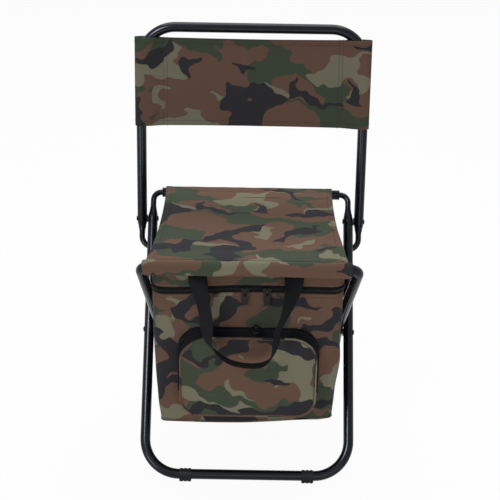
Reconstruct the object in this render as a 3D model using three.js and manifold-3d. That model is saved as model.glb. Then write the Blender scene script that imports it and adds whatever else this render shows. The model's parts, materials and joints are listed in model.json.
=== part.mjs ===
// Folding cooler stool: two crossed leg frames, a folding backrest and a bag under the seat.
// Millimetres, +Z up, the sitter faces -Y. Built about the floor point under the cross pivot.
import * as THREE from "three";
import { mergeVertices } from "three/addons/utils/BufferGeometryUtils.js";
import Module from "manifold-3d";

const wasm = await Module();
wasm.setup();

// Driving dimensions
const FIT = 0.3;
const SEAT_DEPTH = 260;
const SEAT_BAR_HEIGHT = 336;
const OUTER_LEG_SPACING = 292;
const TUBE_DIAMETER = 13;
const TUBE_WALL = 0.9;
const NECK_DIAMETER = 8.5;
const PIVOT_GAP = 3;
const LEG_BEND = 50;
const INNER_LEG_FLARE_RISE = 25;
const SPIGOT_LENGTH = 20;
const NECK_CONE_RISE = 1;
const NECK_CONE_LENGTH = 21;
const NECK_INSERT = 16;
const BUSH_LENGTH = 14;
const FOOT_WALL = 1.7;
const FOOT_LENGTH = 17;
const FOOT_BEND_GAP = 0.5;
const BACKREST_PIVOT_DROP = 41;
const BACKREST_LENGTH = 285.5;
const BACKREST_LEAN = THREE.MathUtils.degToRad(7.7);
const BACKREST_BEND = 50;
const COVER_HEIGHT = 129;
const COVER_TOP_DROP = 14.5;
const COVER_SEAM_WIDTH = 14;
const CLOTH = 1.4;
const FRONT_SLEEVE_LENGTH = 276;
const REAR_SLEEVE_LENGTH = 250;
const BAG_FRONT_GAP = 15;
const BAG_DROP = 245;
const ZIP_DROP = 39;
const ZIP_TAPE_WIDTH = 11;
const LEFT_SLIDER_X = -6;
const RIGHT_SLIDER_X = 24;
const MAIN_TAB_LENGTH = 20;
const POCKET_WIDTH = 184;
const POCKET_HEIGHT = 125;
const POCKET_RISE = 22;
const POCKET_DEPTH = 29;
const POCKET_TOP_CORNER = 34;
const POCKET_BOTTOM_CORNER = 26;
const POCKET_ZIP_RISE = 30;
const POCKET_ZIP_INSET = 9;
const POCKET_ZIP_TAPE_WIDTH = 12;
const POCKET_SLIDER_X = 10;
const POCKET_TAB_LENGTH = 17;
const WEBBING_WIDTH = 25;
const WEBBING_THICKNESS = 1.6;

// Values that follow from them
const TUBE_R = TUBE_DIAMETER / 2;
const NECK_R = NECK_DIAMETER / 2;
const BAR_HEIGHT = TUBE_R + FIT + FOOT_WALL;
const HALF_DEPTH = SEAT_DEPTH / 2;
const CROSS_HEIGHT = (SEAT_BAR_HEIGHT + BAR_HEIGHT) / 2;
const LEG_REACH = Math.hypot(HALF_DEPTH, SEAT_BAR_HEIGHT - CROSS_HEIGHT);
const LEG_LEAN = Math.atan2(HALF_DEPTH, SEAT_BAR_HEIGHT - CROSS_HEIGHT);
const OUTER_X = OUTER_LEG_SPACING / 2;
const INNER_X = OUTER_X - TUBE_DIAMETER - PIVOT_GAP;
const BACKREST_X = OUTER_X + TUBE_DIAMETER + PIVOT_GAP;
const BACKREST_PIVOT_S = LEG_REACH - BACKREST_PIVOT_DROP;
const BACKREST_PIVOT_Y = BACKREST_PIVOT_S * Math.sin(LEG_LEAN);
const BACKREST_PIVOT_Z = CROSS_HEIGHT + BACKREST_PIVOT_S * Math.cos(LEG_LEAN);
const COVER_TOP = BACKREST_LENGTH - COVER_TOP_DROP;
const COVER_BOTTOM = COVER_TOP - COVER_HEIGHT;
const COVER_TURN = Math.acos(Math.max(0, 1 - COVER_TOP_DROP / BACKREST_BEND));
const COVER_SHOULDER = BACKREST_BEND * (1 - Math.sin(COVER_TURN)) + 0.8 * TUBE_R / Math.sin(COVER_TURN);
const RIVET_R = 2.5;
const RIVET_HOLE_R = RIVET_R + FIT;
const NECK_BEND = 12;
const INNER_BEND = 14;
const REAR_BAR_HALF = OUTER_X - NECK_BEND - 3;
const FRONT_BAR_HALF = OUTER_X - INNER_BEND - 3;
const SLEEVE_HOLE_R = TUBE_R + 1;
const SLEEVE_R = SLEEVE_HOLE_R + CLOTH;
const FRONT_SLEEVE_DROP = 6;
const FRONT_SLEEVE_SWING = THREE.MathUtils.degToRad(20);
const PANEL_UNDERSIDE = SEAT_BAR_HEIGHT + SLEEVE_R + FIT;
const PANEL_THICKNESS = 2.4;
const BAG_FRONT_Y = -HALF_DEPTH + BAG_FRONT_GAP;
const LID_TOP = PANEL_UNDERSIDE - FIT;
const ZIP_HEIGHT = SEAT_BAR_HEIGHT - ZIP_DROP;
const BAG_BASE_HEIGHT = SEAT_BAR_HEIGHT - BAG_DROP;
const POCKET_BASE_HEIGHT = BAG_BASE_HEIGHT + POCKET_RISE;
const TUBE_SIDES = 12;
const BEND_STEP = THREE.MathUtils.degToRad(16);
const SIDES = [["left", -1], ["right", 1]];

// Bag plan at three heights, as shares of the room between the legs: half widths and the rear face
const BAG_STATIONS = [
  { z: BAG_BASE_HEIGHT, front: 0.915, rear: 0.785, back: 0.646 },
  { z: BAG_BASE_HEIGHT + BAG_DROP * 0.4, front: 0.977, rear: 0.823, back: 0.708 },
  { z: LID_TOP, front: 1, rear: 0.862, back: 0.738 },
].map((share) => ({
  z: share.z,
  front: INNER_X * share.front,
  rear: INNER_X * share.rear,
  back: HALF_DEPTH * share.back,
}));
const BAG_CORNER = 20;
const BAG_EDGE = 6;

const MATERIALS = {
  enamel: { color: 0x1b1d22, roughness: 0.35, metalness: 0.4 },
  rivet: { color: 0x2a2c30, roughness: 0.4, metalness: 0.7 },
  rubber: { color: 0x191a1c, roughness: 0.7, metalness: 0 },
  camouflage: { color: 0x5c4b3f, roughness: 0.9, metalness: 0 },
  webbing: { color: 0x1c1d1f, roughness: 0.85, metalness: 0 },
  zip: { color: 0x17181a, roughness: 0.5, metalness: 0 },
  piping: { color: 0x57564a, roughness: 0.8, metalness: 0 },
  foam: { color: 0xc4c7ca, roughness: 0.3, metalness: 0.2 },
  board: { color: 0x3a3a3c, roughness: 0.7, metalness: 0 },
};
for (const key of Object.keys(MATERIALS)) {
  MATERIALS[key] = new THREE.MeshStandardMaterial(MATERIALS[key]);
}

const at = (x, y, z) => new THREE.Vector3(x, y, z);
const mix = THREE.MathUtils.lerp;

function piece(name, geometry, material) {
  const mesh = new THREE.Mesh(geometry, MATERIALS[material]);
  mesh.name = name;
  return mesh;
}

function toSolid(geometry) {
  const flat = geometry.index ? geometry.toNonIndexed() : geometry;
  const bare = new THREE.BufferGeometry();
  bare.setAttribute("position", flat.getAttribute("position"));
  const welded = mergeVertices(bare, 1e-3);
  const corners = [];
  for (let i = 0; i < welded.index.count; i += 3) {
    const [a, b, c] = [0, 1, 2].map((k) => welded.index.getX(i + k));
    if (a !== b && b !== c && c !== a) corners.push(a, b, c);
  }
  return new wasm.Manifold(new wasm.Mesh({
    numProp: 3,
    vertProperties: new Float32Array(welded.getAttribute("position").array),
    triVerts: new Uint32Array(corners),
  }));
}

function toGeometry(solid) {
  const mesh = solid.getMesh();
  const geometry = new THREE.BufferGeometry();
  geometry.setAttribute("position", new THREE.BufferAttribute(mesh.vertProperties, 3));
  geometry.setIndex(new THREE.BufferAttribute(mesh.triVerts, 1));
  geometry.computeVertexNormals();
  return geometry;
}

const cut = (body, ...tools) => toGeometry(
  tools.reduce((solid, tool) => solid.subtract(toSolid(tool)), toSolid(body)));
const join = (first, ...others) => toGeometry(
  others.reduce((solid, other) => solid.add(toSolid(other)), toSolid(first)));
const keepInside = (body, region) => toGeometry(toSolid(body).intersect(toSolid(region)));

function box(x0, x1, y0, y1, z0, z1) {
  const geometry = new THREE.BoxGeometry(x1 - x0, y1 - y0, z1 - z0);
  return geometry.translate((x0 + x1) / 2, (y0 + y1) / 2, (z0 + z1) / 2);
}

// Points of a round bend at a corner, with the direction of travel at each
function bendStations(before, corner, after, radius, fixedSteps) {
  const back = before.clone().sub(corner).normalize();
  const ahead = after.clone().sub(corner).normalize();
  const half = back.angleTo(ahead) / 2;
  if (radius === 0 || half > Math.PI / 2 - 1e-4) {
    return [{ point: corner.clone(), tangent: ahead.clone() }];
  }
  const toCentre = back.clone().add(ahead).setLength(radius / Math.sin(half));
  const centre = corner.clone().add(toCentre);
  const start = corner.clone().addScaledVector(back, radius / Math.tan(half)).sub(centre);
  const axis = ahead.clone().cross(back).normalize();
  const travel = back.clone().negate();
  const sweep = Math.PI - 2 * half;
  const steps = fixedSteps ?? Math.ceil(sweep / BEND_STEP);
  return Array.from({ length: steps + 1 }, (_, i) => ({
    point: start.clone().applyAxisAngle(axis, sweep * i / steps).add(centre),
    tangent: travel.clone().applyAxisAngle(axis, sweep * i / steps),
  }));
}

// A path of straight runs and round bends, with a station only where something changes
class BentPath extends THREE.Curve {
  constructor(corners) {
    super();
    this.stations = corners.flatMap((corner, i) => {
      const before = corners[i - 1]?.at;
      const after = corners[i + 1]?.at;
      let found;
      if (!before) found = [{ point: corner.at, tangent: after.clone().sub(corner.at).normalize() }];
      else if (!after) found = [{ point: corner.at, tangent: corner.at.clone().sub(before).normalize() }];
      else found = bendStations(before, corner.at, after, corner.bend ?? 0);
      return found.map((station) => ({ ...station, radius: corner.radius }));
    });
  }

  getPointAt(u) {
    return this.stations[Math.round(u * (this.stations.length - 1))].point.clone();
  }

  getTangentAt(u) {
    return this.stations[Math.round(u * (this.stations.length - 1))].tangent.clone();
  }
}

// A skin through rings of equal point count: capped at both ends, or closed on itself
function loft(rings, closed = false) {
  const count = rings[0].length;
  const positions = rings.flat().flatMap((p) => [p.x, p.y, p.z]);
  const index = [];
  const spans = closed ? rings.length : rings.length - 1;
  for (let i = 0; i < spans; i++) {
    const low = i * count;
    const high = ((i + 1) % rings.length) * count;
    for (let k = 0; k < count; k++) {
      const next = (k + 1) % count;
      index.push(low + k, low + next, high + next, low + k, high + next, high + k);
    }
  }
  if (!closed) {
    for (const [ring, first, turn] of [[rings[0], 0, 1], [rings.at(-1), spans * count, 0]]) {
      const centre = ring.reduce((sum, p) => sum.add(p), at(0, 0, 0)).divideScalar(count);
      const hub = positions.push(centre.x, centre.y, centre.z) / 3 - 1;
      for (let k = 0; k < count; k++) {
        const next = (k + 1) % count;
        index.push(hub, first + (turn ? next : k), first + (turn ? k : next));
      }
    }
  }
  const geometry = new THREE.BufferGeometry();
  geometry.setAttribute("position", new THREE.Float32BufferAttribute(positions, 3));
  geometry.setIndex(index);
  geometry.computeVertexNormals();
  return geometry;
}

function circleRing(centre, u, v, radius, sides) {
  return Array.from({ length: sides }, (_, k) => {
    const angle = 2 * Math.PI * k / sides;
    return centre.clone()
      .addScaledVector(u, radius * Math.cos(angle))
      .addScaledVector(v, radius * Math.sin(angle));
  });
}

// A bent hollow tube, open at both ends; each corner carries its bend and the tube's radius there
function bentTube(corners) {
  const path = new BentPath(corners);
  const frames = path.computeFrenetFrames(path.stations.length - 1, false);
  const ringsOf = (inset) => path.stations.map((station, i) => circleRing(
    station.point, frames.normals[i], frames.binormals[i], station.radius - inset, TUBE_SIDES));
  return loft([...ringsOf(0), ...ringsOf(TUBE_WALL).reverse()], true);
}

// A turned profile of [radius, distance along X] pairs
function turnedAlongX(profile, segments = 16) {
  const points = profile.map(([r, x]) => new THREE.Vector2(r, x));
  return new THREE.LatheGeometry(points, segments).rotateZ(-Math.PI / 2);
}

function holeAlongX(radius, x0, x1, z) {
  return turnedAlongX([[0, x0], [radius, x0], [radius, x1], [0, x1]], TUBE_SIDES).translate(0, 0, z);
}

function extrudeAlongX(shape, x0, x1, curveSegments = 6) {
  const geometry = new THREE.ExtrudeGeometry(
    shape, { depth: x1 - x0, bevelEnabled: false, curveSegments });
  const basis = new THREE.Matrix4().makeBasis(at(0, 1, 0), at(0, 0, 1), at(1, 0, 0));
  return geometry.translate(0, 0, x0).applyMatrix4(basis);
}

// Closed outline through convex corners given in turning order
function roundedOutline(corners, radii, steps) {
  const count = corners.length;
  return corners.flatMap((corner, i) => bendStations(
    corners[(i + count - 1) % count], corner, corners[(i + 1) % count], radii[i], steps)
    .map((station) => station.point));
}

// Frames: each is drawn flat in its own XZ plane, with the pivot at the origin
function outerLegFrame() {
  const coneBase = BACKREST_PIVOT_S + NECK_CONE_RISE;
  const coneTop = coneBase + NECK_CONE_LENGTH;
  const neckEnd = REAR_BAR_HALF - NECK_INSERT;
  const half = (side) => [
    { at: at(side * neckEnd, 0, LEG_REACH), radius: NECK_R },
    { at: at(side * OUTER_X, 0, LEG_REACH), bend: NECK_BEND, radius: NECK_R },
    { at: at(side * OUTER_X, 0, coneTop), radius: NECK_R },
    { at: at(side * OUTER_X, 0, coneBase), radius: TUBE_R },
    { at: at(side * OUTER_X, 0, -LEG_REACH), bend: LEG_BEND, radius: TUBE_R },
  ];
  const tube = bentTube([...half(-1), ...half(1).reverse()]);
  const reach = OUTER_X + TUBE_DIAMETER;
  const holes = [0, BACKREST_PIVOT_S].map((s) => holeAlongX(RIVET_HOLE_R, -reach, reach, s));
  return cut(tube, ...holes);
}

function innerLegFrame() {
  const spigotR = TUBE_R - TUBE_WALL - FIT;
  const shoulder = FRONT_BAR_HALF + FIT;
  const half = (side) => [
    { at: at(side * (shoulder - SPIGOT_LENGTH), 0, LEG_REACH), radius: spigotR },
    { at: at(side * shoulder, 0, LEG_REACH), radius: spigotR },
    { at: at(side * (shoulder + 0.1), 0, LEG_REACH), radius: TUBE_R },
    { at: at(side * OUTER_X, 0, LEG_REACH), bend: INNER_BEND, radius: TUBE_R },
    { at: at(side * INNER_X, 0, INNER_LEG_FLARE_RISE), bend: 60, radius: TUBE_R },
    { at: at(side * INNER_X, 0, -LEG_REACH), bend: LEG_BEND, radius: TUBE_R },
  ];
  const reach = INNER_X + TUBE_DIAMETER;
  return cut(bentTube([...half(-1), ...half(1).reverse()]), holeAlongX(RIVET_HOLE_R, -reach, reach, 0));
}

// The lower ends crank forward, then curl inward behind the outer legs to stop the recline.
// The crank brings the cap to its gap behind the leg, whatever the angle between leg and backrest.
const HOOK_CURL = THREE.MathUtils.degToRad(70);
const HOOK_KINK = -12;
const HOOK_DROP = 26;
const HOOK_TAIL = 22;
const HOOK_TAPER = 10;
const HOOK_GAP = 0.8;
const HOOK_CAP_LENGTH = 9;
const HOOK_CAP_BORE = NECK_R + FIT;
const HOOK_CAP_R = HOOK_CAP_BORE + 0.55;
const HOOK_SPLAY = LEG_LEAN - BACKREST_LEAN;
const HOOK_STAND_OFF = TUBE_R + HOOK_GAP + HOOK_CAP_R + HOOK_KINK * Math.sin(HOOK_SPLAY);
const HOOK_REACH = HOOK_DROP + HOOK_TAIL * Math.cos(HOOK_CURL);
const HOOK_CRANK = HOOK_SPLAY - Math.asin(HOOK_STAND_OFF / HOOK_REACH);

function hookPoints(side) {
  const down = at(0, -Math.sin(HOOK_CRANK), -Math.cos(HOOK_CRANK));
  const kink = at(side * BACKREST_X, 0, HOOK_KINK);
  const corner = kink.clone().addScaledVector(down, HOOK_DROP);
  const inward = down.clone().multiplyScalar(Math.cos(HOOK_CURL))
    .add(at(-side * Math.sin(HOOK_CURL), 0, 0));
  return { kink, corner, inward, tip: corner.clone().addScaledVector(inward, HOOK_TAIL) };
}

function backrestFrame() {
  const half = (side) => {
    const { kink, corner, tip } = hookPoints(side);
    return [
      { at: tip, radius: NECK_R },
      { at: corner, bend: 16, radius: NECK_R },
      { at: kink.clone().lerp(corner, HOOK_TAPER / HOOK_DROP), radius: NECK_R },
      { at: kink, bend: 8, radius: (NECK_R + TUBE_R) / 2 },
      { at: at(side * BACKREST_X, 0, -RIVET_R), radius: TUBE_R },
      { at: at(side * BACKREST_X, 0, BACKREST_LENGTH), bend: BACKREST_BEND, radius: TUBE_R },
    ];
  };
  const reach = BACKREST_X + TUBE_DIAMETER;
  return cut(bentTube([...half(-1), ...half(1).reverse()]), holeAlongX(RIVET_HOLE_R, -reach, reach, 0));
}

function hookCap(side) {
  const { inward, tip } = hookPoints(side);
  const end = FIT + 1.2;
  const edge = 0.8;
  const profile = [
    [0, end], [HOOK_CAP_R - edge, end], [HOOK_CAP_R, end - edge],
    [HOOK_CAP_R, -HOOK_CAP_LENGTH], [HOOK_CAP_BORE, -HOOK_CAP_LENGTH], [HOOK_CAP_BORE, FIT], [0, FIT],
  ];
  const points = profile.map(([r, y]) => new THREE.Vector2(r, y)).reverse();
  const turn = new THREE.Quaternion().setFromUnitVectors(at(0, 1, 0), inward);
  return new THREE.LatheGeometry(points, 16).applyQuaternion(turn).translate(tip.x, tip.y, tip.z);
}

function seatBar(half) {
  const bore = TUBE_R - TUBE_WALL;
  return turnedAlongX([[bore, -half], [TUBE_R, -half], [TUBE_R, half], [bore, half], [bore, -half]], 20);
}

function barBush(side) {
  const body = TUBE_R - TUBE_WALL - FIT;
  const bore = NECK_R + FIT;
  const flange = REAR_BAR_HALF + FIT;
  const inside = flange - BUSH_LENGTH;
  const rim = TUBE_R + 0.2;
  const profile = [[bore, inside], [body, inside], [body, flange], [rim, flange],
    [rim, flange + 1.6], [bore, flange + 1.6], [bore, inside]];
  const geometry = turnedAlongX(profile, 16);
  return side > 0 ? geometry : geometry.rotateZ(Math.PI);
}

function rivet(side, inner, outer) {
  const from = inner - TUBE_R - FIT;
  const to = outer + TUBE_R + FIT;
  const dome = [[4.6, 0], [4.3, 0.8], [3, 1.5], [0, 1.9]];
  const profile = [
    ...dome.map(([r, h]) => [r, from - h]).reverse(), [RIVET_R, from],
    [RIVET_R, to], ...dome.map(([r, h]) => [r, to + h]),
  ];
  const geometry = turnedAlongX(profile);
  return side > 0 ? geometry : geometry.rotateZ(Math.PI);
}

function washer(side, inner, outer) {
  const from = inner + TUBE_R + FIT;
  const to = outer - TUBE_R - FIT;
  const bore = RIVET_R + FIT;
  const geometry = turnedAlongX([[bore, from], [6, from], [6, to], [bore, to], [bore, from]]);
  return side > 0 ? geometry : geometry.rotateZ(Math.PI);
}

// A split clip round the bottom bar, standing on three lands
function foot(x, y) {
  const hole = TUBE_R + FIT;
  const skin = hole + FOOT_WALL;
  const pad = 7.2;
  const start = Math.asin(-(BAR_HEIGHT - 4) / skin);
  const shape = new THREE.Shape();
  shape.moveTo(-pad, -BAR_HEIGHT);
  shape.lineTo(pad, -BAR_HEIGHT);
  shape.lineTo(skin * Math.cos(start), skin * Math.sin(start));
  shape.absarc(0, 0, skin, start, Math.PI - start, false);
  shape.closePath();
  shape.holes.push(new THREE.Path().absarc(0, 0, hole, 0, 2 * Math.PI, true));
  const half = FOOT_LENGTH / 2;
  const clip = extrudeAlongX(shape, -half, half);
  const split = box(-half - 1, half + 1, -1.6, 1.6, hole - 2, skin + 2).rotateX(-Math.sign(y) * 0.9);
  const grooves = [-3.2, 3.2].map(
    (middle) => box(middle - 1, middle + 1, -skin, skin, -BAR_HEIGHT - 1, -BAR_HEIGHT + 0.8));
  return cut(clip, split, ...grooves).translate(x, y, BAR_HEIGHT);
}

// Cloth on the frames
function backrestCover() {
  const seam = BACKREST_X - COVER_SHOULDER - COVER_SEAM_WIDTH;
  const shoulder = BACKREST_X - COVER_SHOULDER;
  const hole = TUBE_R + 0.7;
  const outline = (grow, side) => {
    const r = hole + grow;
    const path = new THREE.Path();
    path.moveTo(side * (seam + 3 - grow), -0.2 - grow);
    path.lineTo(side * shoulder, -r);
    path.lineTo(side * BACKREST_X, -r);
    path.absarc(side * BACKREST_X, 0, r, -Math.PI / 2, Math.PI / 2, side < 0);
    path.lineTo(side * shoulder, r);
    path.lineTo(side * (seam + 3 - grow), 0.2 + grow);
    return path.getPoints(6);
  };
  const shape = new THREE.Shape([...outline(CLOTH, 1), ...outline(CLOTH, -1).reverse()]);
  for (const side of [1, -1]) shape.holes.push(new THREE.Path(outline(0, side)));
  const height = COVER_TOP - COVER_BOTTOM;
  const geometry = new THREE.ExtrudeGeometry(
    shape, { depth: height, bevelEnabled: false, curveSegments: 6 });
  return geometry.translate(0, 0, COVER_BOTTOM);
}

function sleeve(y, drop, swing, length) {
  const outline = (Path, r) => {
    const path = new Path();
    path.absarc(0, 0, r, 0, Math.PI, false);
    path.absarc(0, -drop, r, Math.PI, 2 * Math.PI, false);
    path.closePath();
    return path;
  };
  const shape = outline(THREE.Shape, SLEEVE_R);
  shape.holes.push(outline(THREE.Path, SLEEVE_HOLE_R));
  return extrudeAlongX(shape, -length / 2, length / 2, 8)
    .rotateX(swing)
    .translate(0, y, SEAT_BAR_HEIGHT);
}

function seatPanel() {
  const front = FRONT_SLEEVE_LENGTH / 2;
  const rear = REAR_SLEEVE_LENGTH / 2;
  const waist = mix(rear, front, 0.5) - 5;
  const shape = new THREE.Shape();
  shape.moveTo(-front, -HALF_DEPTH);
  shape.lineTo(front, -HALF_DEPTH);
  shape.quadraticCurveTo(waist, HALF_DEPTH * 0.25, rear, HALF_DEPTH);
  shape.lineTo(-rear, HALF_DEPTH);
  shape.quadraticCurveTo(-waist, HALF_DEPTH * 0.25, -front, -HALF_DEPTH);
  const geometry = new THREE.ExtrudeGeometry(
    shape, { depth: PANEL_THICKNESS, bevelEnabled: false, curveSegments: 10 });
  return geometry.translate(0, 0, PANEL_UNDERSIDE);
}

// Bag: a rounded trapezoid in plan that narrows to the base
function bagPlan(z) {
  const upper = Math.max(1, BAG_STATIONS.findIndex((station) => station.z >= z));
  const [low, high] = [BAG_STATIONS[upper - 1], BAG_STATIONS[upper]];
  const t = (z - low.z) / (high.z - low.z);
  return ["front", "rear", "back"].map((key) => mix(low[key], high[key], t));
}

function bagRing(z, grow) {
  const [front, rear, back] = bagPlan(z);
  const corners = [
    at(-front - grow, BAG_FRONT_Y - grow, z), at(front + grow, BAG_FRONT_Y - grow, z),
    at(rear + grow, back + grow, z), at(-rear - grow, back + grow, z),
  ];
  return roundedOutline(corners, Array(4).fill(Math.max(BAG_CORNER + grow, 2)), 4);
}

function bagVessel(grow, wall, base, top) {
  const levels = [base + BAG_EDGE, BAG_STATIONS[1].z, top];
  const bottom = bagRing(base + BAG_EDGE, grow - BAG_EDGE).map((p) => p.setZ(base));
  const outside = loft([bottom, ...levels.map((z) => bagRing(z, grow))]);
  const floor = bagRing(base + BAG_EDGE, grow - BAG_EDGE - wall * 0.4).map((p) => p.setZ(base + wall));
  const brim = bagRing(top, grow - wall).map((p) => p.setZ(top + 1));
  const inside = loft([floor, ...levels.map((z) => bagRing(z, grow - wall)), brim]);
  return cut(outside, inside);
}

// A strip standing round the bag between two heights
function bagStrip(z0, z1, inner, outer) {
  const rings = [[z0, outer], [z1, outer], [z1, inner], [z0, inner]].map(([z, grow]) => bagRing(z, grow));
  return loft(rings[0].map((_, i) => rings.map((ring) => ring[i])).reverse(), true);
}

const ZIP_LOW = ZIP_HEIGHT - ZIP_TAPE_WIDTH / 2;
const ZIP_HIGH = ZIP_HEIGHT + ZIP_TAPE_WIDTH / 2;
const ZIP_REAR = HALF_DEPTH * 0.477;
const CHAIN_WIDTH = 3;
const CHAIN_PROUD = 1.6;
const FAR = 400;
const zipSide = box(-FAR, FAR, -FAR, ZIP_REAR, 0, FAR);
const hingeSide = box(-FAR, FAR, ZIP_REAR + FIT, FAR, 0, FAR);

function basePiping() {
  const radius = 1.5;
  const z = BAG_BASE_HEIGHT + BAG_EDGE;
  return pipingLoop(bagRing(z, radius + FIT), at(0, 0, 1), radius);
}

// A round cord that follows a flat closed outline
function pipingLoop(outline, axis, radius) {
  const count = outline.length;
  const rings = outline.map((point, i) => {
    const along = outline[(i + 1) % count].clone().sub(outline[(i + count - 1) % count]).normalize();
    return circleRing(point, axis.clone().cross(along), axis, radius, 8);
  });
  return loft(rings, true);
}

// Pocket: outlines in XZ stacked forward from the bag's face
function pocketRing(y, inset) {
  const [half, low, high] = [POCKET_WIDTH / 2 - inset, POCKET_BASE_HEIGHT + inset,
    POCKET_BASE_HEIGHT + POCKET_HEIGHT - inset];
  const corners = [at(-half, y, low), at(half, y, low), at(half, y, high), at(-half, y, high)];
  const radii = [POCKET_BOTTOM_CORNER, POCKET_BOTTOM_CORNER, POCKET_TOP_CORNER, POCKET_TOP_CORNER]
    .map((r) => Math.max(r - inset, 3));
  return roundedOutline(corners, radii, 5);
}

const POCKET_BACK_Y = BAG_FRONT_Y - FIT;
const POCKET_FACE_Y = BAG_FRONT_Y - POCKET_DEPTH;
const POCKET_TOP = POCKET_BASE_HEIGHT + POCKET_HEIGHT;

function pocketShell() {
  const crown = [[0, 0.276], [0, 0.155], [0.023, 0.055], [0.1, 0.02], [0.277, 0]]
    .map(([inset, depth]) => [inset * POCKET_HEIGHT, depth * POCKET_DEPTH]);
  const stack = (wall, back) => loft([
    pocketRing(back, wall),
    ...crown.map(([inset, depth]) => pocketRing(POCKET_FACE_Y + depth + wall, inset + wall)),
  ]);
  return cut(stack(0, POCKET_BACK_Y), stack(CLOTH, POCKET_BACK_Y + 1));
}

function pocketStrip(y0, y1, inner, outer) {
  const section = [[y0, outer], [y1, outer], [y1, inner], [y0, inner]];
  const rings = section.map(([y, grow]) => pocketRing(y, -grow));
  const strip = loft(rings[0].map((_, i) => rings.map((ring) => ring[i])), true);
  return keepInside(strip, box(-FAR, FAR, -FAR, FAR, POCKET_BASE_HEIGHT + POCKET_ZIP_RISE, FAR));
}

const POCKET_ZIP_Y = POCKET_BACK_Y - POCKET_ZIP_INSET;
const POCKET_TAPE = 0.9;

// Zip slider and tab: X along the chain, Z out of the tape, tab lying towards -Y
const SLIDER_TOP = 4;
const TAB_AXIS_Y = -1.2;
const TAB_AXIS_Z = 5.2;

function zipSlider() {
  const shield = new THREE.Shape([[-5.5, -3.4], [2, -4.6], [5.5, -2.6], [5.5, 2.6], [2, 4.6], [-5.5, 3.4]]
    .map(([x, y]) => new THREE.Vector2(x, y)));
  const body = new THREE.ExtrudeGeometry(shield, { depth: SLIDER_TOP - FIT, bevelEnabled: false });
  const channel = box(-9, 9, -CHAIN_WIDTH / 2 - FIT, CHAIN_WIDTH / 2 + FIT, -1, CHAIN_PROUD + 2 * FIT);
  const bail = new THREE.Shape();
  bail.moveTo(-3.6, SLIDER_TOP - 0.4);
  bail.lineTo(3.6, SLIDER_TOP - 0.4);
  bail.lineTo(3.6, 6.2);
  bail.quadraticCurveTo(3.4, 7.6, 2, 7.6);
  bail.lineTo(-2, 7.6);
  bail.quadraticCurveTo(-3.4, 7.6, -3.6, 6.2);
  bail.holes.push(new THREE.Path([[-2.5, SLIDER_TOP], [2.5, SLIDER_TOP], [2.5, 6.5], [-2.5, 6.5]]
    .map(([y, z]) => new THREE.Vector2(y, z))));
  return join(cut(body.translate(0, 0, FIT), channel), extrudeAlongX(bail, -1.5, 1.5, 4));
}

function pullTab(length) {
  const top = TAB_AXIS_Y + 0.8;
  const tab = new THREE.Shape();
  tab.moveTo(-3.4, top);
  tab.lineTo(-4.6, -9);
  tab.lineTo(-4.6, 2 - length);
  tab.lineTo(-2.8, -length);
  tab.lineTo(2.8, -length);
  tab.lineTo(4.6, 2 - length);
  tab.lineTo(4.6, -9);
  tab.lineTo(3.4, top);
  tab.holes.push(new THREE.Path([[-2.1, -7], [2.1, -7], [2.1, top - 1.6], [-2.1, top - 1.6]]
    .map(([x, y]) => new THREE.Vector2(x, y))));
  const geometry = new THREE.ExtrudeGeometry(tab, { depth: 1.6, bevelEnabled: false });
  return geometry.translate(0, 0, TAB_AXIS_Z - 0.8);
}

// Carry handle: webbing that drops from under the front roll and turns edge-on over the pocket
const HANDLE_LINE = [
  [-70, 1.9, -1], [-70, 2.3, 12], [-69.5, 8, 22.5], [-66, 19, 36], [-61, 31, 59],
  [-57, 42, 79], [-51, 51, 96], [-42, 54, 109], [-28, 54, 121], [-11, 53, 127.5],
  [6, 53, 129], [21, 53, 126], [31, 54, 115], [36, 52, 98], [39, 43, 79],
  [45, 31, 59], [54, 19, 36], [59.5, 8, 22.5], [60, 2.3, 12], [60, 1.9, -1],
].map(([x, out, drop]) => at(x, BAG_FRONT_Y - out, SEAT_BAR_HEIGHT - drop));
const HANDLE_TURN = [0, 0, 0, 0, 26, 46, 66, 78, 86, 90, 90, 94, 104, 118, 134, 154, 180, 180, 180, 180];
const HANDLE_BREAK = 0.075;

// Centre of the webbing, with half its width and half its thickness as vectors
function handleFrame(curve, u) {
  const place = curve.getUtoTmapping(u) * (HANDLE_TURN.length - 1);
  const low = Math.min(Math.floor(place), HANDLE_TURN.length - 2);
  const turn = THREE.MathUtils.degToRad(mix(HANDLE_TURN[low], HANDLE_TURN[low + 1], place - low));
  const point = curve.getPointAt(u);
  const along = curve.getTangentAt(u);
  const wide = at(Math.cos(turn), -Math.sin(turn), 0);
  wide.addScaledVector(along, -wide.dot(along)).setLength(WEBBING_WIDTH / 2);
  const thick = along.clone().cross(wide).setLength(WEBBING_THICKNESS / 2);
  return { point, wide, thick };
}

function webbing(curve, from, to, steps) {
  return loft(Array.from({ length: steps + 1 }, (_, i) => {
    const { point, wide, thick } = handleFrame(curve, mix(from, to, i / steps));
    return [[-1, -1], [1, -1], [1, 1], [-1, 1]].map(([a, b]) => point.clone()
      .addScaledVector(wide, a).addScaledVector(thick, b));
  }));
}

// Assembly
const outer = new THREE.Group();
outer.name = "outer_frame";
outer.position.z = CROSS_HEIGHT;
outer.rotation.x = -LEG_LEAN;
outer.add(piece("outer_leg_frame", outerLegFrame(), "enamel"));

const inner = new THREE.Group();
inner.name = "inner_frame";
inner.position.z = CROSS_HEIGHT;
inner.rotation.x = LEG_LEAN;
inner.add(piece("inner_leg_frame", innerLegFrame(), "enamel"));

const backrest = new THREE.Group();
backrest.name = "backrest";
backrest.position.set(0, BACKREST_PIVOT_Y, BACKREST_PIVOT_Z);
backrest.rotation.x = -BACKREST_LEAN;
backrest.add(piece("backrest_frame", backrestFrame(), "enamel"));
backrest.add(piece("backrest_cover", backrestCover(), "camouflage"));

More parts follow.
